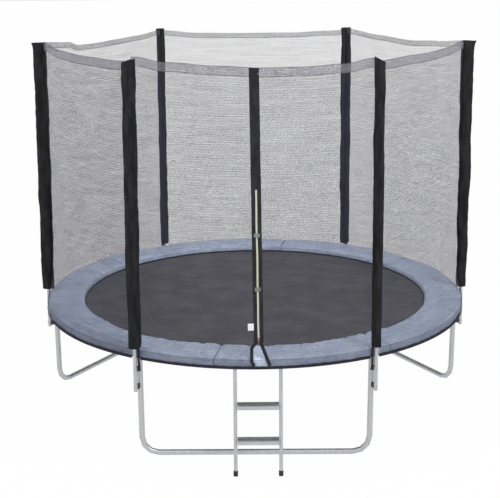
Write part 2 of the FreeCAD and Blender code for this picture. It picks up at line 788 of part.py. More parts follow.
def ribbon(line, width):
    """The outline of a flat strap along a line of points."""
    left, right = [], []
    for k, (x, y) in enumerate(line):
        x0, y0 = line[max(k - 1, 0)]
        x1, y1 = line[min(k + 1, len(line) - 1)]
        length = math.hypot(x1 - x0, y1 - y0)
        nx, ny = -(y1 - y0) / length * width / 2, (x1 - x0) / length * width / 2
        left.append((x + nx, y + ny))
        right.append((x - nx, y - ny))
    return left + right[::-1]


def door_straps():
    """Two straps that spread from the foot of the zip, and the sewn tabs that carry the buckles."""
    reach = DOOR_STRAP_WIDTH + max(abs(across) for across, up in DOOR_STRAP_LEFT + DOOR_STRAP_RIGHT)
    kept = door_block((-reach, reach), (BOTTOM_HEM_WIDTH + 1, DOOR_FOOT - SEWN_GAP), (-reach, reach))
    left, right = [
        door_slab(ribbon(line, DOOR_STRAP_WIDTH), SEWN_GAP, STRAP_THICKNESS).common(kept)
        for line in (DOOR_STRAP_LEFT, DOOR_STRAP_RIGHT)
    ]
    straps = [left.cut(right), right]
    edge = DOOR_STRIP_WIDTH / 2
    for up in BUCKLE_UPS:
        for way in (-1, 1):
            across = (way * edge, way * (edge - TAB_LENGTH))
            straps.append(door_block(across, (up - TAB_WIDTH / 2, up + TAB_WIDTH / 2), (strip_face, tab_face)))
    return straps


# Straps, locks and wire hooks that hold the net's foot to the rail sockets
strap_in = net_radius + STRAP_CLEARANCE
strap_side = pole_radius + STRAP_CLEARANCE
lock_low = RAIL_HEIGHT + LOCK_ABOVE_RAIL - LOCK_HEIGHT / 2
lock_out = strap_in - SEAT_FIT


def net_strap():
    top = sleeve_foot - SEAT_FIT
    low = (strap_in, strap_side, top - STRAP_LENGTH)
    return block(low, (strap_in + STRAP_THICKNESS, strap_side + STRAP_WIDTH, top))


def strap_lock():
    low = (lock_out - LOCK_THICKNESS, strap_side, lock_low)
    return block(low, (lock_out, strap_side + STRAP_WIDTH, lock_low + LOCK_HEIGHT))


def strap_hook():
    """A wire hook from the lock, under the socket and up behind it."""
    wire = WIRE_DIAMETER / 2
    side = strap_side + STRAP_WIDTH / 2
    middle = V(RAIL_RADIUS - side * math.tan(math.radians(spring_pitch / 2)), side, RAIL_HEIGHT)
    top = V(lock_out - LOCK_THICKNESS / 2, middle.y, lock_low - SEAT_FIT)
    points = [top, V(top.x - wire, middle.y, RAIL_HEIGHT - rail_radius)]
    round_socket = (socket_flat + SEAT_FIT + wire) / math.cos(math.pi / RAIL_SIDES)
    for corner in (-1.5, -2.5, -3.5):
        turn = 2 * math.pi * corner / RAIL_SIDES
        points.append(middle + V(round_socket * math.cos(turn), 0, round_socket * math.sin(turn)))
    return rod([(point, wire) for point in points], ACROSS)


def on_alternate_sides(shape):
    """One copy at each pole, on alternate sides of it."""
    other = shape.mirror(V(0, 0, 0), ACROSS)
    return [turned(other if k % 2 else shape, first_pole + sector * k) for k in range(POLE_COUNT)]


# Ladder: two leaning side tubes with flat hooks over the rail, and two pressed steps.
# It is drawn square to the Y axis and then turned in line with the rail's two seats.
ladder_sides = (LADDER_OFFSET - LADDER_SPACING / 2, LADDER_OFFSET + LADDER_SPACING / 2)
ladder_radius = LADDER_TUBE / 2
ladder_top = net_foot - LADDER_CLEARANCE
hook_inner = rail_radius + HOOK_CLEARANCE
hook_outer = hook_inner + HOOK_THICKNESS
ladder_lean = math.radians(LADDER_LEAN)
ladder_down = V(0, -math.sin(ladder_lean), -math.cos(ladder_lean))


def rail_front(side):
    """How far in front of the Z axis the rail's centre line is, at a distance to one side."""
    angle = 270 + math.degrees(math.asin(side / RAIL_RADIUS)) - first_pole
    middle = math.floor(angle / spring_pitch) * spring_pitch + spring_pitch / 2 + first_pole - 270
    turn = math.radians(middle)
    return (RAIL_RADIUS * math.cos(math.radians(spring_pitch / 2)) - side * math.sin(turn)) / math.cos(turn)


hook_seats = [V(side, -rail_front(side), RAIL_HEIGHT) for side in ladder_sides]
ladder_axis = (hook_seats[0] + hook_seats[1]) / 2
ladder_turn = math.degrees(math.atan2(hook_seats[1].y - hook_seats[0].y, hook_seats[1].x - hook_seats[0].x))
ladder_front = (hook_inner + hook_outer) / 2 - ladder_axis.y


def ladder_point(side, height):
    run = math.tan(ladder_lean) * (ladder_top - height)
    return V(side, -ladder_front - run, height)


def ladder_side(side):
    """A side tube with a flat bar that is welded into its plugged head and arches over the rail."""
    stations = [(ladder_point(side, z), ladder_down, ladder_radius) for z in (ladder_top, LADDER_FOOT_SOLE)]
    plug_ends = [ladder_point(side, z) for z in (ladder_top, ladder_top - HOOK_WELD)]
    plug = rod([(end, ladder_radius - LADDER_WALL / 2) for end in plug_ends], OUT, POLE_SIDES)
    upright = tube(stations, LADDER_WALL, OUT, POLE_SIDES).fuse(plug)
    centre = V(side - HOOK_WIDTH / 2, ladder_axis.y, RAIL_HEIGHT)
    corner = hook_outer / math.cos(math.pi / RAIL_SIDES)
    arch = prism(ring(centre, OUT, UP, corner, RAIL_SIDES), OUT * HOOK_WIDTH)
    lower_half = Part.makeBox(HOOK_WIDTH, 2 * corner, corner, centre - ACROSS * corner - UP * corner)
    leg_foot = V(centre.x, centre.y - hook_outer, ladder_top - HOOK_WELD)
    leg = Part.makeBox(HOOK_WIDTH, HOOK_THICKNESS, RAIL_HEIGHT - leg_foot.z, leg_foot)
    hollow = Part.makeCylinder(hook_inner, HOOK_WIDTH, centre, OUT)
    hook = arch.cut(lower_half).fuse(leg).cut(hollow)
    return upright.fuse(hook).removeSplitter()


def ladder_step(height):
    """A pressed tread, open below, between the side tubes."""
    left, right = ladder_sides[0] + ladder_radius, ladder_sides[1] - ladder_radius
    middle = ladder_point(0, height).y
    front, back = middle - STEP_DEPTH / 2, middle + STEP_DEPTH / 2
    low, under = height - STEP_LIP, height - STEP_SHEET
    outline = (
        (front, low), (front, height), (back, height), (back, low),
        (back - STEP_SHEET, low), (back - STEP_SHEET, under),
        (front + STEP_SHEET, under), (front + STEP_SHEET, low),
    )
    return prism([V(left, y, z) for y, z in outline], OUT * (right - left))


def ladder_foot(side):
    """A rubber cup on the end of a side tube, cut level where it stands."""
    outside = (LADDER_FOOT_HEIGHT, -LADDER_FOOT_SOLE, LADDER_FOOT_DIAMETER / 2)
    inside = (2 * LADDER_FOOT_HEIGHT, LADDER_FOOT_SOLE - SEAT_FIT, ladder_radius + SEAT_FIT)
    cup, bore = [
        skin([ring(ladder_point(side, z), ladder_down, OUT, radius, POLE_SIDES) for z in (high, low)])
        for high, low, radius in (outside, inside)
    ]
    toe = ladder_point(side, 0)
    reach = LADDER_FOOT_DIAMETER
    below = block((toe.x - reach, toe.y - reach, -reach), (toe.x + reach, toe.y + reach, 0))
    return cup.cut(bore).cut(below)


def in_line(shape):
    """A piece of the ladder, turned about the middle of its hooks' axis."""
    shape.rotate(ladder_axis, UP, ladder_turn)
    return shape


# Frame
save_each("rail_section", at_poles(rail_section()))
save_each("rail_socket", at_poles(rail_socket()))
save_each("leg_upright", at_poles(leg_upright()))
save_each("leg_base", between_poles(leg_base())[::2])

# Poles
save_each("pole_lower", at_poles(pole_lower()))
save_each("pole_upper", at_poles(pole_upper()))
save("pole_spacers", [copy for height in BOLT_HEIGHTS for copy in at_poles(pole_spacer(height))])
save("pole_bolts", [copy for height in BOLT_HEIGHTS for copy in at_poles(pole_bolt(height))])
save("pole_nuts", [copy for height in BOLT_HEIGHTS for copy in at_poles(pole_nut(height))])
cap_ends = ((net_top - POLE_TOP_DROP, 1), (POLE_FOOT_HEIGHT, -1))
save("pole_caps", [copy for height, way in cap_ends for copy in at_poles(pole_cap(height, way))])
save("foam_tubes", at_poles(foam_tube()))
save("pole_sleeves", at_poles(pole_sleeve()))

# Bed
save("jumping_mat", jumping_mat())
save("v_rings", at_springs(v_ring()))
save("springs", at_springs(spring()))
save("frame_pad", around(pad_section(), PAD_SECTIONS, PAD_FIRST_SEAM))

# Net
front_panel = round((270 - sector / 2 - first_pole) / sector)
panels = between_poles(net_panel())
panels[front_panel] = panels[front_panel].cut(door_hole())
save("net_panels", panels)
top_hems = between_poles(hem(sagging_band(TOP_HEM_WIDTH)))
top_hems[front_panel] = top_hems[front_panel].cut(strip_gap())
save("net_top_hem", [solid for piece in top_hems for solid in piece.Solids])
save("net_bottom_hem", between_poles(hem(foot_band())))
save("net_straps", on_alternate_sides(net_strap()))
save("strap_locks", on_alternate_sides(strap_lock()))
save("strap_hooks", on_alternate_sides(strap_hook()))

# Door
save("door_strip", door_strip())
save("door_straps", door_straps())
save("zip_chain", zip_chain())
save("zip_slider", zip_slider())
save("zip_pull", zip_pull())
save("buckle_sockets", [buckle_socket(up) for up in BUCKLE_UPS])
save("buckle_clip_lower", buckle_clip(BUCKLE_UPS[0]))
save("buckle_clip_upper", buckle_clip(BUCKLE_UPS[1]))

# Ladder
save("ladder_rails", [in_line(ladder_side(side)) for side in ladder_sides])
save("ladder_steps", [in_line(ladder_step(height)) for height in STEP_HEIGHTS])
save("ladder_feet", [in_line(ladder_foot(side)) for side in ladder_sides])
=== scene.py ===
import json
import math
import bmesh
import bpy
from mathutils import Matrix, Vector, noise


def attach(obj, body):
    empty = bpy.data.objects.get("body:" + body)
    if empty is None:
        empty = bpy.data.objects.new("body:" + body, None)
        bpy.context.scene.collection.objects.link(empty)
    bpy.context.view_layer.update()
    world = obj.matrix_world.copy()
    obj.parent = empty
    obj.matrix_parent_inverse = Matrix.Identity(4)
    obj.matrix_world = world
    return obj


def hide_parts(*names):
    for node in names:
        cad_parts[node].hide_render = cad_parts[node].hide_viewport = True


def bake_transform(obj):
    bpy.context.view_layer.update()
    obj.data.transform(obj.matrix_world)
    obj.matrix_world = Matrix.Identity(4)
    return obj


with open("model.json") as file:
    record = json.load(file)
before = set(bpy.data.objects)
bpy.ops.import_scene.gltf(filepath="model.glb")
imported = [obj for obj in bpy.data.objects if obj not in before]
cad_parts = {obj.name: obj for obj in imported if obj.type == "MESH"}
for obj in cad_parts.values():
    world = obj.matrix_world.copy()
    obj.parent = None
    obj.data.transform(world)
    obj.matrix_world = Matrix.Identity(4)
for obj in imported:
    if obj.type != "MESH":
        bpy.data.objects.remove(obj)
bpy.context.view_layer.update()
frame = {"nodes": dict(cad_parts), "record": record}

# A round garden trampoline with six padded poles and an outer safety net.
# Metres and degrees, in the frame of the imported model: the ground is z 0 and the door faces -Y.

# Frame and poles
POLE_ANGLES = (0, 60, 120, 180, 240, 300)
RAIL_RADIUS = 1.506
RAIL_HEIGHT = 0.712
RAIL_TUBE = 0.019
PAD_TOP = 0.760
NET_HEIGHT = 1.829
POLE_RING = 1.555
POLE_LEAN = 0.037

# Sleeves
SLEEVE_FOOT = 0.774
SLEEVE_TOP = 2.589
SLEEVE_RADIAL = 0.0455
SLEEVE_ACROSS = 0.0315
SLEEVE_GIRTH = 0.236
FOAM_RADIUS = 0.0245
FOAM_TOP = 2.567

# Net
NET_FOOT = 0.692
NET_RADIUS = 1.546
NET_HALF_TURN = 28.77
NET_TOP_FLAT = 1.3146
NET_TOP_HALF = 0.7234
TOP_HEM = 0.056
BACK_HEM = 0.040
BOTTOM_HEM = 0.026
DOOR_PANEL = 270
BACK_PANELS = (30, 90, 150)

# Netting, which the materials draw as threads
NET_PITCH = 0.0062
BACK_PITCH = 0.0055
SIDE_BACK_PITCH = 0.0045
HEM_PITCH = 0.0040
NET_ROW = 0.0155
NET_PULLS = 26.0
NET_PULL_REACH = 0.014
NET_TONES = ((0.029, 0.027, 0.046), (0.051, 0.048, 0.079))
HEM_TONES = ((0.17, 0.165, 0.19), (0.32, 0.31, 0.35))
HEM_EDGE = 0.003
HEM_EDGE_TONE = (0.09, 0.088, 0.10)

# Pad
PAD_INNER = 1.266
PAD_OUTER = 1.535
PAD_UNDER = 0.737
SKIRT_FOOT = 0.700
PAD_SECTIONS = 8
PAD_RIM = 0.7495
PAD_LIP_FOOT = 0.727
PAD_LIP_RISE = 0.0115
PAD_FIRST_SEAM = 35.0

# Bed
MAT_RADIUS = 1.2862
MAT_TOP = 0.715
MAT_HALF = 0.0006
MAT_SAG = 0.0012
SPRING_PITCH = 7.5
WEDGES = 12
WEDGE_TURN = 360 / WEDGES
BEND_FROM = 1.46
BEND_TO = 0.1

# Door, measured on the slope of the front panel
DOOR_ORIGIN = Vector((0.022, -1.54322, 0.692))
DOOR_ACROSS = Vector((0.999914, 0.001558, 0.012997))
DOOR_RISE = Vector((-0.013090, 0.119010, 0.992806))
DOOR_OUT = Vector((0.0, -0.99289, 0.11902))
STRIP_FOOT = 0.172
STRIP_HEAD = (PAD_TOP + 1.783 - NET_FOOT) / DOOR_RISE.z
STRIP_HALF = 0.031
BUCKLES = (0.512, 0.849)


class Flow:
    """A value on its way through a material. Python's operators on it add Math nodes."""

    def __init__(self, finish, socket):
        self.finish = finish
        self.socket = socket

    def math(self, operation, *others):
        inputs = dict(enumerate((self, *others)))
        return self.finish.node("ShaderNodeMath", {"operation": operation}, inputs)

    def __add__(self, other):
        return self.math("ADD", other)

    def __sub__(self, other):
        return self.math("SUBTRACT", other)

    def __mul__(self, other):
        return self.math("MULTIPLY", other)

    def __rsub__(self, other):
        return self.math("MULTIPLY", -1.0).math("ADD", other)

    __radd__ = __add__
    __rmul__ = __mul__

    def step(self, low, high):
        """0 below low, 1 above high and smooth between them."""
        return self.finish.node(
            "ShaderNodeMapRange", {"interpolation_type": "SMOOTHSTEP"},
            {"Value": self, "From Min": low, "From Max": high},
        )

    def wave(self, pitch):
        """A sine of this length, from -1 to 1."""
        return self.math("MULTIPLY", 2 * math.pi / pitch).math("SINE")


class Finish:
    """A material with a Principled shader whose inputs are set by name."""

    def __init__(self, name, **inputs):
        self.material = bpy.data.materials.new(name)
        self.material.use_nodes = True
        self.tree = self.material.node_tree
        self.shader = self.tree.nodes["Principled BSDF"]
        for key, value in inputs.items():
            self.set(key.replace("_", " ").title().replace("Ior", "IOR"), value)

    def feed(self, socket, value):
        """Links a Flow to an input, or sets a plain value there."""
        if isinstance(value, Flow):
            self.tree.links.new(value.socket, socket)
        elif isinstance(value, tuple) and len(value) == 3 and socket.type == "RGBA":
            socket.default_value = (*value, 1.0)
        else:
            socket.default_value = value

    def set(self, name, value):
        self.feed(self.shader.inputs[name], value)

    def node(self, kind, settings=None, inputs=None, output=0):
        made = self.tree.nodes.new(kind)
        for key, value in (settings or {}).items():
            setattr(made, key, value)
        for key, value in (inputs or {}).items():
            self.feed(made.inputs[key], value)
        return Flow(self, made.outputs[output])

    def mix(self, factor, first, second):
        return self.node("ShaderNodeMix", {"data_type": "RGBA"}, {0: factor, 6: first, 7: second}, 2)

    def place(self):
        """The point in the part's own frame, in metres."""
        return self.node("ShaderNodeTexCoord", output="Object")

    def cloth(self):
        """Distances across and along the cloth, in metres."""
        flat = self.node("ShaderNodeUVMap", {"uv_map": "Cloth"})
        return flat, *self.split(flat)[:2]

    def split(self, vector):
        """The three parts of a vector."""
        parts = self.tree.nodes.new("ShaderNodeSeparateXYZ")
        self.feed(parts.inputs[0], vector)
        return [Flow(self, output) for output in parts.outputs]

    def shaken(self, vector, scale, reach):
        """The vector, moved about by a noise."""
        inputs = {"Vector": vector, "Scale": scale, "Detail": 2.0}
        moves = self.node("ShaderNodeTexNoise", {}, inputs, "Color")
        return self.node("ShaderNodeVectorMath", {"operation": "MULTIPLY_ADD"},
                         {0: moves, 1: (reach, reach, reach), 2: vector})

    def stretched(self, vector, scale):
        return self.node("ShaderNodeVectorMath", {"operation": "MULTIPLY"}, {0: vector, 1: scale})

    def noise(self, vector, scale, detail=3.0, roughness=0.55):
        inputs = {"Vector": vector, "Scale": scale, "Detail": detail, "Roughness": roughness}
        return self.node("ShaderNodeTexNoise", {}, inputs)

    def cells(self, vector, scale):
        """A tone of its own for each cell."""
        made = self.node("ShaderNodeTexVoronoi", {}, {"Vector": vector, "Scale": scale}, "Color")
        return self.node("ShaderNodeRGBToBW", {}, {0: made})

    def bump(self, height, distance, strength):
        inputs = {"Height": height, "Distance": distance, "Strength": strength}
        self.set("Normal", self.node("ShaderNodeBump", {}, inputs))


def galvanised_tube():
    finish = Finish("galvanised_tube", metallic=0.85)
    place = finish.place()
    spangle = finish.cells(place, 90.0)
    cloud = finish.noise(place, 7.0)
    tone = spangle * 0.45 + cloud * 0.55
    finish.set("Base Color", finish.mix(tone, (0.40, 0.41, 0.43), (0.62, 0.63, 0.65)))
    finish.set("Roughness", 0.30 + spangle * 0.16 + cloud * 0.12)
    finish.bump(finish.noise(place, 260.0), 0.0004, 0.35)
    return finish.material


def zinc_hardware():
    finish = Finish("zinc_hardware", metallic=0.95)
    place = finish.place()
    cloud = finish.noise(place, 60.0)
    finish.set("Base Color", finish.mix(cloud, (0.48, 0.48, 0.47), (0.72, 0.72, 0.70)))
    finish.set("Roughness", 0.24 + cloud * 0.2)
    return finish.material


def moulded(name, colour):
    """A matt moulded plastic with a fine grain and slightly paler worn patches."""
    finish = Finish(name, roughness=0.5)
    place = finish.place()
    wear = finish.noise(place, 35.0)
    pale = tuple(min(1.0, c * 1.5 + 0.01) for c in colour)
    finish.set("Base Color", finish.mix(wear.step(0.45, 0.8), colour, pale))
    finish.set("Roughness", 0.42 + wear * 0.22)
    finish.bump(finish.noise(place, 900.0, 1.0), 0.0002, 0.5)
    return finish.material


def foam():
    finish = Finish("foam", roughness=0.9)
    place = finish.place()
    pores = finish.noise(place, 420.0, 2.0)
    finish.set("Base Color", finish.mix(pores, (0.10, 0.10, 0.11), (0.22, 0.22, 0.23)))
    finish.bump(pores, 0.001, 0.8)
    return finish.material


def woven(name, colour, pale, thread=0.0012, edges=()):
    """Woven cloth. edges are distances across it where a row of stitches runs."""
    finish = Finish(name, roughness=0.78, specular_ior_level=0.2, sheen_weight=0.04, sheen_roughness=0.5)
    flat, across, along = finish.cloth()
    weave = across.wave(thread) * along.wave(thread)
    cloud = finish.noise(finish.stretched(flat, (1.0, 0.35, 1.0)), 22.0, 4.0)
    fade = finish.noise(flat, 5.0, 2.0)
    tone = cloud * 0.6 + fade * 0.4
    colours = finish.mix(tone.step(0.35, 0.65), colour, pale)
    height = weave * 0.25 + cloud * 0.35
    for edge in edges:
        row = 1.0 - (across - edge).math("ABSOLUTE").step(0.0006, 0.0014)
        dash = along.wave(0.0052).step(-0.2, 0.2)
        stitch = row * dash
        colours = finish.mix(stitch * 0.6, colours, pale)
        height = height + stitch * 0.5
    finish.set("Base Color", colours)
    finish.bump(height, 0.0012, 0.6)
    return finish.material


def sleeve_fabric():
    """Dark cloth with a stitched seam along the outer side. The paler strip over the seam is a painted
    highlight, and the darker and paler streaks are painted shade and light on its creases.
    """
    finish = Finish("sleeve_fabric", roughness=0.8, specular_ior_level=0.18)
    flat, across, along = finish.cloth()
    cloud = finish.noise(finish.stretched(flat, (1.0, 0.18, 1.0)), 30.0, 4.0)
    weave = across.wave(0.0014) * along.wave(0.0014)
    # Painted shade and light: the darker and paler streaks follow the creases of the bump, darker in their
    # hollows.
    base = finish.mix(cloud.step(0.35, 0.7), (0.008, 0.008, 0.009), (0.024, 0.024, 0.026))
    middle = (across - SLEEVE_GIRTH / 2).math("ABSOLUTE")
    # Painted highlight: the paler strip over the seam. The stitches along its edges are real.
    strip = 1.0 - middle.step(0.009, 0.011)
    seam = 1.0 - (middle - 0.0095).math("ABSOLUTE").step(0.0005, 0.0012)
    base = finish.mix(strip * 0.35, base, (0.050, 0.051, 0.055))
    stitch = seam * along.wave(0.006).step(-0.2, 0.2)
    finish.set("Base Color", finish.mix(stitch * 0.5, base, (0.16, 0.16, 0.17)))
    finish.bump(weave * 0.2 + cloud * 0.7 + stitch * 0.6, 0.0016, 0.7)
    return finish.material


def netting(name, pitch, cover, dark, pale, gathers=0.0):
    """Knitted netting: threads both ways with open holes, closer in some rows and towards its foot.

    cover is the share of the pitch that a thread takes. gathers makes upright pleats in a hem.
    """
    finish = Finish(name, roughness=0.85, specular_ior_level=0.2)
    flat, across, along = finish.cloth()
    streaks = finish.noise(finish.stretched(flat, (3.0, 45.0, 1.0)), 1.0, 3.0, 0.6)
    cloud = finish.noise(finish.stretched(flat, (1.0, 2.0, 1.0)), 3.0, 3.0)
    close = along.wave(NET_ROW) * 0.2 + streaks + cloud * 0.3 - along * 0.15 + 0.57
    if gathers:
        pleats = finish.noise(finish.stretched(flat, (110.0, 6.0, 1.0)), 1.0, 2.0)
        close = close + (pleats - 0.5) * gathers
    half = close * (cover * pitch / 2)
    pulled_across, pulled_along, _ = finish.split(finish.shaken(flat, NET_PULLS, NET_PULL_REACH))
    upright = pulled_across.math("PINGPONG", pitch / 2).math("LESS_THAN", half)
    level = pulled_along.math("PINGPONG", pitch / 2).math("LESS_THAN", half)
    threads = upright.math("MAXIMUM", level)
    base = finish.mix(cloud, dark, pale)
    if gathers:
        edge = 1.0 - along.step(HEM_EDGE - 0.0005, HEM_EDGE + 0.0005)
        edge = edge.math("MAXIMUM", (along - TOP_HEM).math("ABSOLUTE").math("LESS_THAN", HEM_EDGE))
        base = finish.mix(edge, base, HEM_EDGE_TONE)
        threads = threads.math("MAXIMUM", edge)
    finish.set("Base Color", base)
    finish.set("Alpha", threads)
    return finish.material


def jumping_cloth():
    """Matt woven bed, with rows of stitches near its edge."""
    finish = Finish("mat_fabric", roughness=0.75, specular_ior_level=0.3)
    _, across, along = finish.cloth()
    place = finish.place()
    cloud = finish.noise(place, 6.0, 5.0)
    dust = finish.noise(place, 45.0, 3.0)
    weave = across.wave(0.004) * along.wave(0.004)
    tone = cloud * 0.7 + dust * 0.3
    base = finish.mix(tone.step(0.35, 0.7), (0.087, 0.087, 0.089), (0.136, 0.136, 0.140))
    distance = finish.node("ShaderNodeVectorMath", {"operation": "LENGTH"},
                           {0: finish.stretched(place, (1.0, 1.0, 0.0))}, "Value")
    rows = (distance - (MAT_RADIUS - 0.012)).math("ABSOLUTE").math("PINGPONG", 0.012)
    row = (1.0 - rows.step(0.0008, 0.002)) * distance.step(MAT_RADIUS - 0.05, MAT_RADIUS - 0.04)
    finish.set("Base Color", finish.mix(row * 0.5, base, (0.2, 0.2, 0.21)))
    finish.bump(weave * 0.3 + dust * 0.4 + row * 0.3, 0.001, 0.5)
    return finish.material


def pad_cover():
    """Blue coated cloth, crumpled, with painted light and shade on its crumples and painted shade on its
    hanging skirt. Its underside is black.
    """
    finish = Finish("pad_cover", roughness=0.42, coat_weight=0.06, coat_roughness=0.4)
    place = finish.place()
    crease = finish.noise(place, 26.0, 5.0, 0.62)
    broad = finish.noise(place, 4.5, 3.0)
    scuff = finish.noise(place, 90.0, 3.0)
    patches = {"Vector": finish.shaken(place, 9.0, 0.16), "Scale": 6.0}
    folds = finish.node("ShaderNodeTexVoronoi", {"feature": "DISTANCE_TO_EDGE"}, patches, "Distance")
    folds = folds.step(0.0, 0.12)
    # Painted light and shade: the tone follows the noises of the bump, paler on ridges and darker along
    # creases and fold lines.
    tone = (crease * 0.5 + broad * 0.35 + folds * 0.1).step(0.30, 0.68)
    base = finish.mix(tone, (0.445, 0.527, 0.710), (0.615, 0.690, 0.850))
    base = finish.mix(scuff.step(0.62, 0.8) * 0.25, base, (0.60, 0.65, 0.74))
    x, y, z = finish.split(place)
    radius = (x * x + y * y).math("SQRT")
    turn = y.math("ARCTAN2", x) - math.radians(PAD_FIRST_SEAM)
    from_seam = turn.math("PINGPONG", math.pi / PAD_SECTIONS) * PAD_OUTER
    seam = 1.0 - from_seam.step(0.0016, 0.0036)
    base = finish.mix(seam * 0.85, base, (0.05, 0.06, 0.08))
    rim = 1.0 - (z - PAD_RIM).math("ABSOLUTE").step(0.0010, 0.0035)
    rim = rim * radius.step(PAD_OUTER - 0.008, PAD_OUTER - 0.004)
    base = finish.mix(rim * 0.6, base, (0.07, 0.08, 0.11))
    # Painted shade: the hanging skirt is darker than the top, because its side gets less light.
    hangs = radius.step(PAD_OUTER - 0.006, PAD_OUTER - 0.003) * (1.0 - z.step(PAD_RIM - 0.004, PAD_RIM))
    base = finish.mix(hangs * 0.22, base, (0.10, 0.12, 0.17))
    past_lip = radius.step(PAD_INNER + 0.009, PAD_INNER + 0.034)
    under = 1.0 - (z - past_lip * PAD_LIP_RISE - PAD_LIP_FOOT).step(-0.001, 0.001)
    under = under * (1.0 - radius.step(PAD_OUTER - 0.014, PAD_OUTER - 0.009))
    finish.set("Base Color", finish.mix(under, base, (0.020, 0.020, 0.023)))
    finish.set("Roughness", 0.38 + scuff * 0.22)
    finish.bump(folds * 0.25 + crease * 0.6 + broad + scuff * 0.1, 0.013, 0.7)
    return finish.material


def webbing(name, colour, pale):
    """Ribbed strap."""
    finish = Finish(name, roughness=0.8, specular_ior_level=0.2)
    flat, across, along = finish.cloth()
    ribs = along.wave(0.0022) * 0.5 + across.wave(0.00352) * 0.5
    cloud = finish.noise(flat, 60.0, 3.0)
    finish.set("Base Color", finish.mix((ribs * 0.3 + cloud).step(0.3, 0.9), colour, pale))
    finish.bump(ribs, 0.0006, 0.7)
    return finish.material


def zip_tape():
    """Cream coil: close teeth in two rows, with painted shade between the teeth and between the rows."""
    finish = Finish("zip_tape", roughness=0.45)
    flat, across, along = finish.cloth()
    teeth = along.wave(0.0028)
    gap = 1.0 - (across - 0.0055).math("ABSOLUTE").step(0.0003, 0.0009)
    cloud = finish.noise(flat, 30.0, 3.0)
    base = finish.mix(cloud, (0.60, 0.59, 0.46), (0.74, 0.73, 0.60))
    # Painted shade: darker between the teeth and in the gap between the rows, where the bump is low.
    dark = (1.0 - teeth.step(-0.9, -0.2)) * 0.25 + gap * 0.3
    finish.set("Base Color", finish.mix(dark, base, (0.30, 0.29, 0.22)))
    finish.bump(teeth * 0.7 - gap, 0.0008, 0.8)
    return finish.material


def painted_slider():
    finish = Finish("zip_metal", metallic=0.3)
    place = finish.place()
    wear = finish.noise(place, 240.0, 3.0)
    worn = wear.step(0.55, 0.75)
    finish.set("Base Color", finish.mix(worn, (0.16, 0.10, 0.07), (0.42, 0.38, 0.33)))
    finish.set("Roughness", 0.35 + wear * 0.2)
    return finish.material


def ladder_rubber():
    finish = Finish("ladder_rubber", roughness=0.85)
    place = finish.place()
    dust = finish.noise(place, 55.0, 4.0)
    dusty = dust.step(0.45, 0.75)
    finish.set("Base Color", finish.mix(dusty, (0.018, 0.018, 0.018), (0.07, 0.068, 0.065)))
    finish.bump(dust, 0.0006, 0.5)
    return finish.material


finishes = {
    "galvanised_tube": galvanised_tube(),
    "zinc_hardware": zinc_hardware(),
    "black_plastic": moulded("black_plastic", (0.025, 0.025, 0.027)),
    "buckle_plastic": moulded("buckle_plastic", (0.17, 0.19, 0.18)),
    "foam": foam(),
    "sleeve_fabric": sleeve_fabric(),
    "net_mesh": netting("net_mesh", NET_PITCH, 0.166, *NET_TONES),
    "hem_fabric": netting("hem_fabric", HEM_PITCH, 0.27, *HEM_TONES, gathers=1.2),
    "black_webbing": webbing("black_webbing", (0.014, 0.014, 0.016), (0.045, 0.045, 0.05)),
    "door_fabric": woven("door_fabric", (0.010, 0.010, 0.011), (0.026, 0.026, 0.028),
                         edges=(0.004, 2 * STRIP_HALF - 0.004)),
    "mat_fabric": jumping_cloth(),
    "pad_cover": pad_cover(),
    "zip_tape": zip_tape(),
    "zip_metal": painted_slider(),
    "ladder_rubber": ladder_rubber(),
}
blank_tag = woven("blank_tag", (0.80, 0.80, 0.80), (0.90, 0.90, 0.90), thread=0.0006)

# The panels beside and behind the door panel look finer or denser, each with its own pitch and cover
panel_nets = {
    middle: netting(name, pitch, cover, *NET_TONES)
    for middle, name, pitch, cover in (
        (30, "back_net_right", SIDE_BACK_PITCH, 0.184),
        (90, "back_net", BACK_PITCH, 0.166),
        (150, "back_net_left", SIDE_BACK_PITCH, 0.218),
        (210, "front_net_left", NET_PITCH, 0.218),
        (330, "front_net_right", NET_PITCH, 0.184),
    )
}
back_hem = netting("back_hem", HEM_PITCH, 0.19, *HEM_TONES, gathers=1.2)
side_hem = netting("side_hem", HEM_PITCH, 0.36, *HEM_TONES, gathers=1.8)
panel_hems = {30: back_hem, 90: back_hem, 150: back_hem, 210: side_hem, 330: side_hem}


def polar(radius, angle, height=0.0):
    """A point at this distance and angle round the middle of the frame."""
    turn = math.radians(angle)
    return Vector((radius * math.cos(turn), radius * math.sin(turn), height))


def pole_point(angle, height):
    """A point of a pole's axis, which leans in towards its top."""
    return polar(POLE_RING - POLE_LEAN * (height - PAD_TOP) / NET_HEIGHT, angle, height)


def on_door(across, up, out=0.0):
    """A point by its distances from the door's origin, along the slope of the front panel."""
    return DOOR_ORIGIN + DOOR_ACROSS * across + DOOR_RISE * up + DOOR_OUT * out


def along_curve(points, x):
    """A smooth curve through points of x and value, level at each of them."""
    for (x0, y0), (x1, y1) in zip(points, points[1:]):
        if x <= x1:
            share = max(0.0, min(1.0, (x - x0) / (x1 - x0)))
            return y0 + (y1 - y0) * share * share * (3 - 2 * share)
    return points[-1][1]


def straight(points, x):
    """The straight lines through points of x and value."""
    for (x0, y0), (x1, y1) in zip(points, points[1:]):
        if x <= x1:
            return y0 + (y1 - y0) * (x - x0) / (x1 - x0)
    return points[-1][1]


def ripple(x, y, z, size):
    """Smooth noise between about -1 and 1 with waves of this size."""
    return noise.noise(Vector((x, y, z)) / size)


def baked(name, bm):
    """The mesh of a bmesh, which is freed."""
    mesh = bpy.data.meshes.new(name)
    bm.to_mesh(mesh)
    bm.free()
    return mesh


def placed(name, data):
    """A new object in the scene."""
    made = bpy.data.objects.new(name, data)
    bpy.context.collection.objects.link(made)
    return made


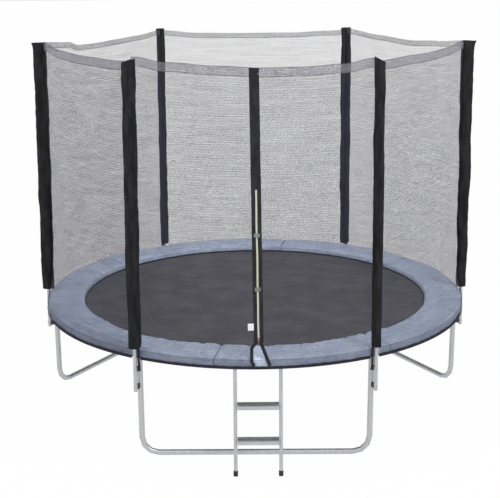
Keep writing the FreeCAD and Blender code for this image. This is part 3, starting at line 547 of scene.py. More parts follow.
def piece(name, bm, slot, body="frame", stands_for=()):
    """An object of a bmesh with the finish of a slot. It rides on the body, where one is given."""
    mesh = baked(name, bm)
    made = placed(name, mesh)
    for polygon in mesh.polygons:
        polygon.use_smooth = True
    mesh.materials.append(finishes[slot])
    if stands_for:
        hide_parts(*stands_for)
    if body:
        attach(made, body)
    return made


def cloth(columns, rows, shape, width, length):
    """A grid of cloth. shape takes shares across and along it, and its UVs are in metres."""
    bm = bmesh.new()
    layer = bm.loops.layers.uv.new("Cloth")
    bmesh.ops.create_grid(bm, x_segments=columns, y_segments=rows, size=0.5)
    for face in bm.faces:
        for loop in face.loops:
            loop[layer].uv = ((loop.vert.co.x + 0.5) * width, (loop.vert.co.y + 0.5) * length)
    for vert in bm.verts:
        vert.co = shape(vert.co.x + 0.5, vert.co.y + 0.5)
    bmesh.ops.remove_doubles(bm, verts=bm.verts, dist=1e-6)
    return bm


def thicken(made, thickness, offset=0.0):
    """Gives a sheet its thickness, to both sides unless offset is 1 or -1."""
    solid = made.modifiers.new("Thickness", "SOLIDIFY")
    solid.thickness = thickness
    solid.offset = offset


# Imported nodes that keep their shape, with the bevel of those that have edges
slot_of = {row["node"]: row["material_slot"] for row in frame["record"]["subparts"]}
TUBES = ("rail_section", "rail_socket", "leg_upright", "leg_base", "pole_lower", "pole_upper",
         "ladder_rails")
BEVELS = {
    "pole_spacers": 0.001, "pole_bolts": 0.0004, "pole_nuts": 0.0006, "pole_caps": 0.0004,
    "strap_locks": 0.0007, "strap_hooks": 0.0, "buckle_sockets": 0.0005, "buckle_clip_lower": 0.0005,
    "buckle_clip_upper": 0.0005, "zip_slider": 0.0004, "zip_pull": 0.0003, "ladder_steps": 0.0007,
    "ladder_feet": 0.001,
}
SHARP = math.radians(50)


def dress(node, bevel=0.0):
    """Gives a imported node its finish, smooth tubes and, where bevel is set, rounded edges."""
    made = frame["nodes"][node]
    slot = slot_of[node]
    made.data.materials.clear()
    made.data.materials.append(finishes[slot])
    for polygon in made.data.polygons:
        polygon.use_smooth = True
    weld = made.modifiers.new("Weld", "WELD")
    weld.merge_threshold = 1e-5
    if bevel:
        rounded = made.modifiers.new("Bevel", "BEVEL")
        rounded.width = bevel
        rounded.segments = 2
        rounded.limit_method = "ANGLE"
        rounded.angle_limit = SHARP
    split = made.modifiers.new("Split", "EDGE_SPLIT")
    split.split_angle = SHARP


for node in slot_of:
    if node.startswith(TUBES):
        dress(node)
for node, bevel in BEVELS.items():
    dress(node, bevel)


# Jumping mat: wedges that sag a little towards the middle, so that the bed dips slightly as a bowl
def mat_wedge(number):
    first = WEDGE_TURN * number

    def shape(across, along):
        height = MAT_TOP - MAT_SAG * (1 - along * along) - MAT_HALF
        return polar(MAT_RADIUS * along, first + WEDGE_TURN * across, height)

    width = 2 * MAT_RADIUS * math.sin(math.radians(WEDGE_TURN / 2))
    bm = cloth(10, 36, shape, width, MAT_RADIUS)
    bmesh.ops.recalc_face_normals(bm, faces=bm.faces)
    made = piece(f"mat_wedge_{number + 1}", bm, "mat_fabric", None, ("jumping_mat",))
    middle = first + WEDGE_TURN / 2
    polar(BEND_FROM, middle, MAT_TOP)
    polar(BEND_TO, middle, MAT_TOP)
    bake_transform(made)


# Springs and the V-rings that they hook into
RING_BASE = 1.2848
RING_TIP = 1.3188
RING_HALF = 0.018
RING_WIRE = 0.0019
SPRING_FROM = 1.3165
SPRING_TO = 1.4895
SPRING_END_HEIGHT = 0.7245
COIL_RADIUS = 0.0052
WIRE = 0.0013
WIRE_SIDES = 5
COIL_TURNS = 40
COIL_STEPS = COIL_TURNS * 8
HOOK = 0.020
HOOK_BEND = 0.013
HOOK_TURN = math.radians(205)


def one_spring():
    """A closed coil along +X from a hook at x 0 to a hook at its length, as a mesh."""
    length = SPRING_TO - SPRING_FROM
    bm = bmesh.new()

    def wire_end(matrix):
        """A circle of wire that a spin turns into a bent piece of it."""
        ring = bmesh.ops.create_circle(bm, segments=WIRE_SIDES, radius=WIRE, matrix=matrix)["verts"]
        return ring + list(dict.fromkeys(edge for vert in ring for edge in vert.link_edges))

    start = Matrix.Translation((HOOK, 0, COIL_RADIUS)) @ Matrix.Rotation(math.pi / 2, 4, "X")
    pitch = (length - 2 * HOOK) / COIL_STEPS
    bmesh.ops.spin(bm, geom=wire_end(start), cent=(0, 0, 0), axis=(1, 0, 0), dvec=(pitch, 0, 0),
                   angle=2 * math.pi * COIL_TURNS, steps=COIL_STEPS)
    for way, end in ((1, HOOK), (-1, length - HOOK)):
        turn = Matrix.Translation((end, 0, COIL_RADIUS * 0.7)) @ Matrix.Rotation(-way * math.pi / 2, 4, "Y")
        bmesh.ops.spin(bm, geom=wire_end(turn), cent=(end - way * HOOK_BEND, 0, -0.002), axis=(0, 1, 0),
                       dvec=(0, 0, 0), angle=-way * HOOK_TURN, steps=9)
    bmesh.ops.recalc_face_normals(bm, faces=bm.faces)
    return baked("spring", bm)


def add_ring(bm, turned):
    """A triangle of wire at the mat's edge."""
    corners = [Vector((x, y, 0)) for x, y in (
        (RING_BASE, -RING_HALF), (RING_TIP, 0), (RING_BASE, RING_HALF))]
    for here, there in zip(corners, corners[1:] + corners[:1]):
        side = there - here
        along = Matrix.Translation((here + there) / 2 + Vector((0, 0, MAT_TOP - MAT_HALF)))
        along = turned @ along @ side.to_track_quat("Z", "Y").to_matrix().to_4x4()
        bmesh.ops.create_cone(bm, cap_ends=True, segments=6, radius1=RING_WIRE, radius2=RING_WIRE,
                              depth=side.length, matrix=along)


def hardware(number, spring_mesh):
    """The springs and V-rings of one wedge."""
    bm = bmesh.new()
    slope = math.atan2(SPRING_END_HEIGHT - MAT_TOP, SPRING_TO - SPRING_FROM)
    for place in range(int(WEDGE_TURN / SPRING_PITCH)):
        angle = WEDGE_TURN * number + SPRING_PITCH * (place + 0.5)
        turned = Matrix.Rotation(math.radians(angle), 4, "Z")
        add_ring(bm, turned)
        start = Matrix.Translation((SPRING_FROM, 0, MAT_TOP + 0.001))
        spring = spring_mesh.copy()
        spring.transform(turned @ start @ Matrix.Rotation(-slope, 4, "Y"))
        bm.from_mesh(spring)
        bpy.data.meshes.remove(spring)
    made = piece(f"springs_and_rings_{number + 1}", bm, "zinc_hardware", None, ("springs", "v_rings"))
    middle = WEDGE_TURN * (number + 0.5)
    polar(BEND_FROM, middle, MAT_TOP)
    polar(BEND_TO, middle, MAT_TOP)
    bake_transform(made)


spring_mesh = one_spring()
for number in range(WEDGES):
    mat_wedge(number)
    hardware(number, spring_mesh)


# Spring pad: sewn sections, each a closed cushion that is puffed and creased, with a hanging skirt
PAD_TURN = 360 / PAD_SECTIONS
PAD_MIDDLE = (PAD_INNER + PAD_OUTER) / 2
PAD_HALF = (PAD_OUTER - PAD_INNER) / 2
PAD_LEVEL = (PAD_UNDER + PAD_TOP) / 2
PAD_LIP = 0.030
PAD_DROOP = 0.0288
PAD_SPARE = 0.035
PAD_PRESSURE = 3.0
PAD_FRAMES = 20
PAD_CAP = 0.009
PAD_NOTCH = 0.009
PAD_RIDGES = ((0.8, 0.0080), (1.9, 0.0050))


def pad_outline(share):
    """A point round the cushion's closed outline. Its inner lip droops onto the mat's edge."""
    turn = 2 * math.pi * share
    x, y = math.cos(turn), math.sin(turn)
    radius = PAD_MIDDLE + math.copysign(abs(x) ** 0.22, x) * (PAD_OUTER - PAD_INNER - 0.002) / 2
    height = PAD_LEVEL + math.copysign(abs(y) ** 0.75, y) * (PAD_TOP - PAD_UNDER) / 2
    lip = max(0.0, 1 - (radius - PAD_INNER) / PAD_LIP)
    if y < 0:
        height -= PAD_DROOP * lip * lip * (3 - 2 * lip)
    return radius, height


def cushion_shape(across, along):
    """A cushion between two seams, from 0 degrees on."""
    radius, height = pad_outline(across)
    seam = min(along, 1 - along) * math.radians(PAD_TURN) * PAD_MIDDLE
    pinch = math.exp(-(seam / 0.016) ** 2)
    if height > PAD_LEVEL:
        height = PAD_LEVEL - 0.002 + (height - PAD_LEVEL + 0.002) * (1 - 0.8 * pinch)
    return polar(radius, 0.02 + (PAD_TURN - 0.04) * along, height)


def simulated(mesh, held):
    """Where the points of a cloth cushion settle, with spare cloth and some air inside it."""
    made = placed("cushion_cloth", mesh)
    group = made.vertex_groups.new(name="held")
    group.add([vert.index for vert in mesh.vertices if held(vert.co)], 1.0, "REPLACE")
    cloth_maker = made.modifiers.new("Cloth", "CLOTH")
    settings = cloth_maker.settings
    settings.vertex_group_mass = "held"
    settings.shrink_min = -PAD_SPARE
    settings.use_pressure = True
    settings.uniform_pressure_force = PAD_PRESSURE
    settings.effector_weights.gravity = 0.0
    settings.bending_stiffness = 1.5
    settings.quality = 4
    cloth_maker.collision_settings.use_collision = False
    cloth_maker.point_cache.frame_end = PAD_FRAMES
    for step in range(1, PAD_FRAMES + 1):
        bpy.context.scene.frame_set(step)
    settled = made.evaluated_get(bpy.context.evaluated_depsgraph_get())
    places = [vert.co.copy() for vert in settled.data.vertices]
    bpy.context.scene.frame_set(1)
    bpy.data.objects.remove(made)
    return places


def cushion_mesh():
    width = 2 * (PAD_OUTER - PAD_INNER) + 2 * (PAD_TOP - PAD_UNDER)
    bm = cloth(72, 190, cushion_shape, width, math.radians(PAD_TURN) * PAD_MIDDLE)
    bmesh.ops.holes_fill(bm, edges=bm.edges, sides=0)
    bmesh.ops.recalc_face_normals(bm, faces=bm.faces)
    mesh = baked("cushion", bm)

    def held(point):
        angle = math.degrees(math.atan2(point.y, point.x))
        outer = math.hypot(point.x, point.y) > PAD_OUTER - 0.006
        return point.z < PAD_LEVEL - 0.004 or outer or min(angle, PAD_TURN - angle) < 0.3

    places = simulated(mesh.copy(), held)
    for vert, place in zip(mesh.vertices, places):
        move = place - vert.co
        if move.length > PAD_CAP:
            move *= PAD_CAP / move.length
        vert.co += move
    return mesh


# Long creases, each from one angle and radius to another, with its depth
PAD_CREASES = (
    (268.8, 1.34, 261.0, 1.525, 0.010), (260.2, 1.44, 263.0, 1.53, 0.008),
    (258.0, 1.40, 251.0, 1.50, 0.006), (279.0, 1.36, 284.5, 1.44, 0.006),
    (285.0, 1.33, 291.0, 1.39, 0.006), (288.0, 1.46, 296.0, 1.50, 0.007),
    (236.0, 1.33, 229.0, 1.46, 0.007), (246.0, 1.45, 238.5, 1.51, 0.006),
    (205.0, 1.36, 199.0, 1.50, 0.006), (188.0, 1.33, 192.0, 1.47, 0.006),
    (331.0, 1.34, 338.0, 1.45, 0.006), (312.0, 1.44, 319.0, 1.50, 0.006),
)
CREASE_HALF = 0.009


def crease_depth(x, y):
    """How deep the long creases are at a point of the pad."""
    here, depth = Vector((x, y)), 0.0
    for from_angle, from_radius, to_angle, to_radius, deep in PAD_CREASES:
        start, end = polar(from_radius, from_angle).to_2d(), polar(to_radius, to_angle).to_2d()
        line = end - start
        share = (here - start).dot(line) / line.length_squared
        if 0 < share < 1:
            side = (here - start - line * share).length
            depth += deep * math.exp(-(side / CREASE_HALF) ** 2) * math.sin(math.pi * share) ** 0.5
    return depth


def pad_cushion(number, section):
    """A copy of the sewn section at its place, with creases of its own."""
    first = PAD_FIRST_SEAM + PAD_TURN * number
    mesh = section.copy()
    mesh.transform(Matrix.Rotation(math.radians(first), 4, "Z"))
    bm = bmesh.new()
    bm.from_mesh(mesh)
    bpy.data.meshes.remove(mesh)
    for vert in bm.verts:
        x, y, z = vert.co
        radius = math.hypot(x, y)
        turn = math.degrees(math.atan2(y, x))
        angle = (turn - first) % 360
        from_seam = min(angle, abs(PAD_TURN - angle))
        inside = min(1.0, from_seam / 1.5) if angle < PAD_TURN else 0.0
        notch = PAD_NOTCH * math.exp(-(from_seam / 0.7) ** 2) * max(0.0, 1 - (radius - PAD_INNER) / 0.05)
        vert.co += polar(notch, turn)
        if z > PAD_LEVEL:
            edge = max(0.0, 1 - abs(radius - PAD_MIDDLE) / PAD_HALF)
            lift = 0.0060 * ripple(x, y, number, 0.21) + 0.0030 * ripple(x, y, number + 3, 0.07)
            slanted = angle * 0.55 + (radius - PAD_MIDDLE) * 22
            for pitch, depth in PAD_RIDGES:
                ridge = noise.noise(Vector((slanted * pitch, radius * 5 * pitch, number + pitch)))
                lift -= depth * max(0.0, 1 - abs(ridge) * 6)
            vert.co.z += (lift - crease_depth(x, y)) * inside * min(1.0, 4 * edge)
    made = piece(f"pad_cushion_{number + 1}", bm, "pad_cover", "frame", ("frame_pad",))


# Angles of the folds in the skirt
SKIRT_FOLDS = (12, 47, 96, 133, 188, 212, 229, 234, 262, 267, 288, 318, 341)


def pad_skirt(number):
    """Cloth that hangs from the cushion's outer edge, with a black binding along its foot."""
    first = PAD_FIRST_SEAM + PAD_TURN * number
    top = PAD_TOP - 0.010

    def at(angle, height, out=0.0):
        low = (top - height) / (top - SKIRT_FOOT)
        lean = angle + 1.6 * low
        swing = noise.noise(Vector((lean * 0.35, 0.4, 2.0)))
        swing += 0.6 * noise.noise(Vector((lean * 1.1, 7, low)))
        fold = sum(math.exp(-((lean - middle) / 0.5) ** 2) for middle in SKIRT_FOLDS)
        return polar(PAD_OUTER - 0.0015 + (0.0050 * swing - 0.006 * fold) * low + out, angle, height)

    def foot(angle):
        return SKIRT_FOOT + 0.0015 * noise.noise(Vector((angle * 0.5, 4, number)))

    def shape(across, along):
        angle = first + PAD_TURN * across
        return at(angle, foot(angle) + (top - foot(angle)) * along)

    def binding(across, along):
        angle = first + PAD_TURN * across
        bend = 2 * math.pi * along
        return at(angle, foot(angle) + 0.004 + 0.0045 * math.cos(bend), 0.0014 * math.sin(bend))

    length = math.radians(PAD_TURN) * PAD_OUTER
    made = piece(f"pad_skirt_{number + 1}", cloth(150, 8, shape, length, top - SKIRT_FOOT), "pad_cover")
    thicken(made, 0.001)
    edge = piece(f"pad_binding_{number + 1}", cloth(120, 8, binding, length, 0.02), "black_webbing")


def pad_strap(number):
    """A strap under the pad that goes round the rail."""
    width = 0.020
    angle = PAD_FIRST_SEAM + PAD_TURN * number + 17.5
    reach = RAIL_TUBE + 0.0002
    depth = PAD_UNDER + 0.001 - RAIL_HEIGHT
    run = 2 * depth + math.pi * reach

    def shape(across, along):
        at = run * along
        if at < depth:
            x, z = reach, depth - at
        elif at > run - depth:
            x, z = -reach, at - run + depth
        else:
            bend = (at - depth) / reach
            x, z = reach * math.cos(bend), -reach * math.sin(bend)
        middle = polar(RAIL_RADIUS + x, angle, RAIL_HEIGHT + z)
        return middle + polar(width * (across - 0.5), angle + 90)

    made = piece(f"pad_strap_{number + 1}", cloth(3, 40, shape, width, run), "black_webbing")
    thicken(made, 0.0012, 1.0)


section = cushion_mesh()
for number in range(PAD_SECTIONS):
    pad_cushion(number, section)
    pad_skirt(number)
    pad_strap(number)


# Net panels. Each height of the top edge is above the pad, at a share of the half width from the middle.
NET_TOPS = {
    30: ((-1, 1.826), (-0.55, 1.803), (-0.1, 1.786), (0.4, 1.800), (1, 1.829)),
    90: ((-1, 1.815), (-0.87, 1.808), (-0.41, 1.793), (0.15, 1.790), (0.6, 1.794), (1, 1.816)),
    150: ((-1, 1.826), (-0.6, 1.797), (-0.19, 1.786), (0.18, 1.778), (0.41, 1.779), (0.6, 1.812),
          (1, 1.829)),
    210: ((-1, 1.829), (-0.5, 1.805), (0, 1.800), (0.6, 1.808), (1, 1.818)),
    270: ((-1, 1.850), (-0.7, 1.817), (-0.28, 1.794), (0.05, 1.783), (0.38, 1.787), (0.71, 1.804),
          (1, 1.836)),
    330: ((-1, 1.812), (-0.5, 1.815), (0, 1.806), (0.5, 1.812), (1, 1.829)),
}
NET_TUCK = 0.032
NET_TUCK_TURN = 0.95
NET_TUCK_HALF = 0.028
NET_TUCK_RISE = 0.05
NET_TUCK_REACH = 0.22
DOOR_TUCK_REACH = 0.11
NET_END = 0.014
NET_END_REACH = 0.03
NET_DRAWN = ((0, 0), (0.30, 0.5))
NET_SLACK = {30: 0.004, 90: 0.003, 150: 0.006, 210: 0.005, 270: 0.002, 330: 0.005}


def net_point(middle, share, height, out=0.0):
    """A point of the net's wall: round at its foot, straight at its top. share goes from -1 to 1.

    Above the sleeves' feet its ends are tucked in behind the sleeves. All walls but the door panel also
    go over to their straight tops early.
    """
    rise = (height - NET_FOOT) / (SLEEVE_TOP - NET_FOOT)
    above = height - SLEEVE_FOOT
    behind = min(1.0, max(0.0, above / NET_TUCK_RISE))
    foot = polar(NET_RADIUS + out, (NET_HALF_TURN + NET_TUCK_TURN * behind) * share)
    top = Vector((NET_TOP_FLAT + out, (NET_TOP_HALF + NET_TUCK_HALF * behind) * share, 0))
    drawn, reach = 0.0, DOOR_TUCK_REACH
    if middle != DOOR_PANEL:
        drawn, reach = along_curve(NET_DRAWN, above) * (1 - rise), NET_TUCK_REACH
    at = foot.lerp(top, rise + drawn)
    held = (1 - share * share) * min(1.0, max(0.0, rise) * 5)
    slack = noise.noise(Vector((share * 2.4, rise * 0.7, middle)))
    slack += 0.4 * noise.noise(Vector((share * 7, rise * 2.2, middle + 9)))
    at.x += NET_SLACK[middle] * 2 * slack * held
    from_end = (1 - abs(share)) * NET_TOP_HALF
    tuck = NET_TUCK * math.exp(-(from_end / reach) ** 2)
    tuck -= NET_END * math.exp(-(from_end / NET_END_REACH) ** 2)
    at -= polar(tuck * behind, math.copysign(30, share))
    at.z = height
    return Matrix.Rotation(math.radians(middle), 4, "Z") @ at


def net_top(middle, share):
    """The height of a panel's upper edge."""
    return PAD_TOP + along_curve(NET_TOPS[middle], share)


DOOR_HOLE_LEFT = ((-0.01, -0.034), (0.052, -0.046), (0.138, -0.044), (STRIP_FOOT, -0.002))


def in_door_hole(point):
    """Whether a point of the front panel is in the open triangle between the door's straps."""
    from_foot = point - DOOR_ORIGIN
    across, up = from_foot.dot(DOOR_ACROSS), from_foot.dot(DOOR_RISE)
    if not -0.01 < up < STRIP_FOOT:
        return False
    right = 0.074 - (up - 0.006) * 0.36
    return along_curve(DOOR_HOLE_LEFT, up) < across < right


def net_panel(middle):
    """A wall of the net between two sleeves, with its pale upper hem and its black lower one."""
    def shape(across, along):
        share = 2 * across - 1
        return net_point(middle, share, NET_FOOT + (net_top(middle, share) - NET_FOOT) * along)

    width = 2 * NET_TOP_HALF
    columns, rows = (108, 120) if middle == DOOR_PANEL else (48, 60)
    bm = cloth(columns, rows, shape, width, NET_HEIGHT)
    if middle == DOOR_PANEL:
        gone = [face for face in bm.faces if in_door_hole(face.calc_center_median())]
        bmesh.ops.delete(bm, geom=gone, context="FACES")
    made = piece(f"net_panel_{middle}", bm, "net_mesh", "frame", ("net_panels",))
    made.data.materials[0] = panel_nets.get(middle, finishes["net_mesh"])

    hem_width = BACK_HEM if middle in BACK_PANELS else TOP_HEM

    def hem_shape(across, along):
        share = 2 * across - 1
        top = net_top(middle, share) + 0.001
        puffed = 1 + noise.noise(Vector((share * 14, along * 3, middle)))
        puff = 0.0012 * math.sin(math.pi * along) * puffed
        return net_point(middle, share, top - hem_width * (1 - along), 0.0016 + puff)

    hem = piece(f"top_hem_{middle}", cloth(90, 6, hem_shape, width, hem_width), "hem_fabric", "frame",
                ("net_top_hem",))
    hem.data.materials[0] = panel_hems.get(middle, finishes["hem_fabric"])

    def foot_shape(across, along):
        share = 2 * across - 1
        wave = 0.0008 * noise.noise(Vector((share * 20, along * 2, middle)))
        bunch = 0.016 + 0.014 * max(0.0, noise.noise(Vector((share * 4.2, middle, 3)))) ** 0.8
        return net_point(middle, share, NET_FOOT + bunch * along - 0.001 * (1 - along), wave - 0.003)

    foot = piece(f"foot_hem_{middle}", cloth(90, 4, foot_shape, width, BOTTOM_HEM), "black_webbing",
                 "frame", ("net_bottom_hem",))
    thicken(foot, 0.0012)


# Sleeves: how each open top slants up towards +X, and how far it flares outwards
SLEEVE_TOPS = {
    0: (-0.02, 0.016), 60: (0.0, 0.004), 120: (0.04, 0.005),
    180: (0.03, 0.014), 240: (0.26, 0.004), 300: (-0.5, 0.006),
}
# How loosely each lies round its tube, at its top and at its foot
SLEEVE_FIT = {
    0: (1.04, 0.80), 60: (1.10, 1.08), 120: (0.88, 0.88),
    180: (1.04, 1.0), 240: (1.10, 1.06), 300: (0.84, 0.80),
}


def sleeve(angle):
    """The cloth round a foam tube, with folds and an open top."""
    slant, flare = SLEEVE_TOPS[angle]
    fit_top, fit_foot = SLEEVE_FIT[angle]
    out = polar(1, angle)
    side = polar(1, angle + 90)

    def shape(across, along):
        turn = 2 * math.pi * across
        x, y = math.cos(turn), math.sin(turn)
        wide = math.copysign(abs(x) ** 0.8, x)
        thin = math.copysign(abs(y) ** 0.9, y)
        fold = 0.0065 * noise.noise(Vector((x * 1.2, y * 1.2 + angle, along * 9)))
        fold += 0.0032 * noise.noise(Vector((x * 2.2 + angle, y * 2.2, along * 34)))
        crease = noise.noise(Vector((x * 3 + angle, y * 3 + along * 30, along * 22)))
        fold -= 0.0035 * max(0.0, 1 - abs(crease) * 9)
        fold = max(fold, -0.0055)
        sway = 0.006 * noise.noise(Vector((angle, 3.0, along * 5)))
        fit = fit_foot + (fit_top - fit_foot) * along
        belly = SLEEVE_RADIAL + 0.0015 * math.sin(4 * along)
        radial = max(FOAM_RADIUS + 0.003, belly * fit + fold) * wide
        tangent = max(FOAM_RADIUS + 0.0015, SLEEVE_ACROSS * fit + fold) * thin
        open_end = max(0.0, (along - 0.97) / 0.03) ** 2
        radial += flare * open_end * max(0.0, x)
        foot = max(0.0, (0.02 - along) / 0.02)
        radial *= 1 - 0.06 * foot
        middle = pole_point(angle, SLEEVE_FOOT + (SLEEVE_TOP - SLEEVE_FOOT) * along)
        at = middle + out * (radial + sway) + side * tangent
        lift = slant * (at - middle).x + 0.002 * noise.noise(Vector((x * 2, y * 2, angle)))
        at.z += lift * min(1.0, max(0.0, (along - 0.95) / 0.05))
        return at

    bm = cloth(44, 150, shape, SLEEVE_GIRTH, SLEEVE_TOP - SLEEVE_FOOT)
    made = piece(f"sleeve_{angle + 30}", bm, "sleeve_fabric", "frame", ("pole_sleeves",))
    thicken(made, 0.0012, -1.0)


def foam_tube(angle):
    """A closed-cell tube round the pole, with softly rounded ends."""
    low, high = SLEEVE_FOOT + 0.008, FOAM_TOP
    outline = ((0.0128, 0.002), (0.018, 0.0), (FOAM_RADIUS - 0.003, 0.0), (FOAM_RADIUS, 0.004))
    count = len(outline)

    def shape(across, along):
        step = round(along * (2 * count - 1))
        if step < count:
            radius, past = outline[step]
            height = low + past
        else:
            radius, past = outline[2 * count - 1 - step]
            height = high - past
        return pole_point(angle, height) + polar(radius, 360 * across)

    bm = cloth(24, 2 * count - 1, shape, 0.18, high - low)
    made = piece(f"foam_tube_{angle}", bm, "foam", "frame", ("foam_tubes",))


for angle in POLE_ANGLES:
    foam_tube(angle)
    sleeve(angle)
for middle in NET_TOPS:
    net_panel(middle)


# Straps with free tails at the sleeves' feet
STRAP_TOP = 0.7738
STRAP_FOOT = 0.6138
STRAP_RADIUS = 1.5482
STRAP_WIDTH = 0.018


def net_strap(number, angle):
    """A strap beside its pole, to the left and the right in turn."""
    side = 1 if number % 2 == 0 else -1

    def shape(across, along):
        height = STRAP_TOP + (STRAP_FOOT - STRAP_TOP) * along
        free = max(0.0, (along - 0.45) / 0.55)
        curl = 0.004 * free * math.sin(5 * along + angle)
        swing = 0.006 * free * free * math.sin(angle)
        beside = side * (0.014 + STRAP_WIDTH * across) + swing
        return polar(STRAP_RADIUS + curl, angle, height) + polar(beside, angle + 90)

    bm = cloth(4, 40, shape, STRAP_WIDTH, STRAP_TOP - STRAP_FOOT)
    made = piece(f"net_strap_{angle}", bm, "black_webbing", "frame", ("net_straps",))
    thicken(made, 0.0013)


for number, angle in enumerate(POLE_ANGLES):
    net_strap(number, angle)


# Door: the strip with its zip, the straps that spread below it, the buckles' tabs and a blank tag
ZIP_HALF = 0.0056
ZIP_FOOT = 0.180
ZIP_LENGTH = 0.950
DOOR_STRAP_WIDTH = 0.022
TAB_WIDTH = 0.015
TAB_END = 0.013
TAG_LEFT, TAG_FOOT = -0.066, 0.250
TAG_WIDTH, TAG_LENGTH = 0.037, 0.045


def strip_wave(up):
    """How far the strip's middle swings aside at this height."""
    return 0.0016 * noise.noise(Vector((up * 5, 0, 0)))


def door_strip():
    length = STRIP_HEAD - STRIP_FOOT

    def shape(across, along):
        up = STRIP_FOOT + length * along
        x = -STRIP_HALF + 2 * STRIP_HALF * across
        puff = 0.0010 * noise.noise(Vector((x * 20, up * 9, 2))) + 0.0012
        return on_door(x + strip_wave(up), up, puff)

    bm = cloth(8, 160, shape, 2 * STRIP_HALF, length)
    made = piece("door_strip_cloth", bm, "door_fabric", "frame", ("door_strip",))
    thicken(made, 0.0012)


def zip_coil():
    def shape(across, along):
        up = ZIP_FOOT + ZIP_LENGTH * along
        crown = 0.0009 * math.sin(math.pi * across) ** 0.5
        fade = min(1.0, along * 12)
        aside = strip_wave(up) * 1.2 * fade
        return on_door(-ZIP_HALF + 2 * ZIP_HALF * across + aside, up, 0.0020 + crown)

    piece("zip_coil", cloth(6, 200, shape, 2 * ZIP_HALF, ZIP_LENGTH), "zip_tape", "frame", ("zip_chain",))


def ribbon(name, line, width, out):
    """A flat strap along points across and up the door."""
    lengths = [0.0]
    for (x0, y0), (x1, y1) in zip(line, line[1:]):
        lengths.append(lengths[-1] + math.hypot(x1 - x0, y1 - y0))
    total = lengths[-1]
    xs = [(length, x) for length, (x, y) in zip(lengths, line)]
    ys = [(length, y) for length, (x, y) in zip(lengths, line)]

    def middle(share):
        return Vector((straight(xs, total * share), straight(ys, total * share)))

    def shape(across, along):
        here = middle(along)
        way = middle(min(1.0, along + 0.08)) - middle(max(0.0, along - 0.08))
        normal = Vector((-way.y, way.x)).normalized()
        at = here + normal * width * (across - 0.5)
        return on_door(at.x, at.y, out + 0.0006 * noise.noise(Vector((along * 6, 0, width * 90))))

    made = piece(name, cloth(4, 40, shape, width, total), "black_webbing", "frame", ("door_straps",))
    thicken(made, 0.0014)


def blank_label():
    def shape(across, along):
        curl = 0.004 * (1 - across) ** 2
        return on_door(TAG_LEFT + TAG_WIDTH * across, TAG_FOOT + TAG_LENGTH * along, 0.0024 + curl)

    made = piece("blank_tag", cloth(6, 8, shape, TAG_WIDTH, TAG_LENGTH), "hem_fabric")
    made.data.materials[0] = blank_tag
    thicken(made, 0.0004)


door_strip()
zip_coil()
left_line = ((-0.014, 0.176), (-0.044, 0.138), (-0.046, 0.052), (-0.032, 0.020))
ribbon("door_strap_left", left_line, DOOR_STRAP_WIDTH, 0.0010)
ribbon("door_strap_right", ((0.012, 0.176), (0.068, 0.022)), DOOR_STRAP_WIDTH, 0.0014)
for up in BUCKLES:
    for way in (-1, 1):
        tab_line = ((way * STRIP_HALF, up), (way * TAB_END, up))
        ribbon(f"buckle_tab_{round(up * 1000)}_{way + 1}", tab_line, TAB_WIDTH, 0.0026)
blank_label()


# Camera at the photograph's viewing angle
EYE = Vector((-0.0132, -8.4139, 3.2827))
VIEW_AHEAD = Vector((0.001505, 0.957871, -0.287193))
VIEW_RIGHT = Vector((0.999985, -0.002949, -0.004597))
VIEW_UP = Vector((0.005251, 0.287182, 0.957862))

camera_data = bpy.data.cameras.new("camera")
camera = placed("camera", camera_data)
turned = Matrix((VIEW_RIGHT, VIEW_UP, -VIEW_AHEAD)).transposed().to_4x4()
camera.matrix_world = Matrix.Translation(EYE) @ turned
camera_data.sensor_fit = "HORIZONTAL"
camera_data.sensor_width = 36.0
camera_data.lens = 83.83
camera_data.shift_x = -0.0098
camera_data.shift_y = 0.0792
bpy.context.scene.camera = camera


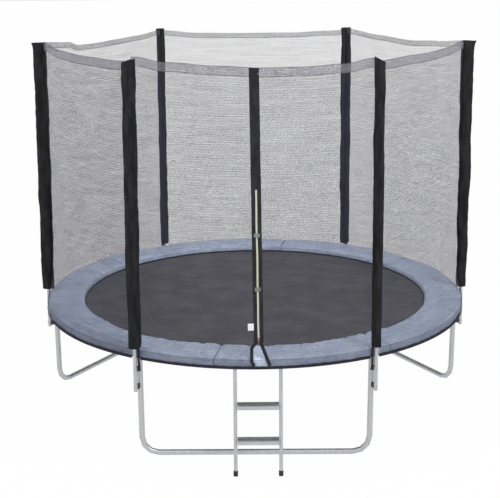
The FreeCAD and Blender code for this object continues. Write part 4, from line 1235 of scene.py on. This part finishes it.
# Floor, world and lamps
def white_to_camera(tree, surface, white, amount):
    """Mixes an amount of white in for the camera and reflections. All other light sees the surface."""
    path = tree.nodes.new("ShaderNodeLightPath").outputs
    sees = path["Is Camera Ray"]
    for ray in ("Is Glossy Ray", "Is Transmission Ray"):
        either = tree.nodes.new("ShaderNodeMath")
        either.operation = "MAXIMUM"
        tree.links.new(sees, either.inputs[0])
        tree.links.new(path[ray], either.inputs[1])
        sees = either.outputs[0]
    share = tree.nodes.new("ShaderNodeMath")
    share.operation = "MULTIPLY"
    share.inputs[1].default_value = amount
    tree.links.new(sees, share.inputs[0])
    mix = tree.nodes.new("ShaderNodeMixShader")
    for socket, value in zip(mix.inputs, (share.outputs[0], surface, white)):
        tree.links.new(value, socket)
    return mix.outputs[0]


world = bpy.data.worlds.new("world")
bpy.context.scene.world = world
world.use_nodes = True
sky = world.node_tree.nodes["Background"]
sky.inputs["Color"].default_value = (0.97, 0.98, 1.0, 1.0)
sky.inputs["Strength"].default_value = 0.76
plain = world.node_tree.nodes.new("ShaderNodeBackground")
shown = white_to_camera(world.node_tree, sky.outputs[0], plain.outputs[0], 1.0)
world.node_tree.links.new(shown, world.node_tree.nodes["World Output"].inputs["Surface"])

grid = bmesh.new()
bmesh.ops.create_grid(grid, x_segments=1, y_segments=1, size=60.0)
floor = placed("floor", baked("floor", grid))
ground = Finish("ground", roughness=1.0, base_color=(0.62, 0.62, 0.62), specular_ior_level=0.0)
glow = ground.tree.nodes.new("ShaderNodeEmission")
shown = white_to_camera(ground.tree, ground.shader.outputs[0], glow.outputs[0], 0.985)
ground.tree.links.new(shown, ground.tree.nodes["Material Output"].inputs["Surface"])
floor.data.materials.append(ground.material)


def lamp(name, place, target, size, power):
    """A square lamp that faces the target."""
    data = bpy.data.lights.new(name, "AREA")
    data.shape = "SQUARE"
    data.size = size
    data.energy = power
    made = placed(name, data)
    way = Vector(target) - Vector(place)
    made.matrix_world = Matrix.Translation(place) @ way.to_track_quat("-Z", "Y").to_matrix().to_4x4()


lamp("key", (4.5, -5.5, 7.5), (0, 0, 1.0), 4.0, 420)
lamp("fill", (-6.0, -3.0, 5.0), (0, 0, 1.0), 5.0, 160)

bpy.context.scene.view_settings.view_transform = "Standard"
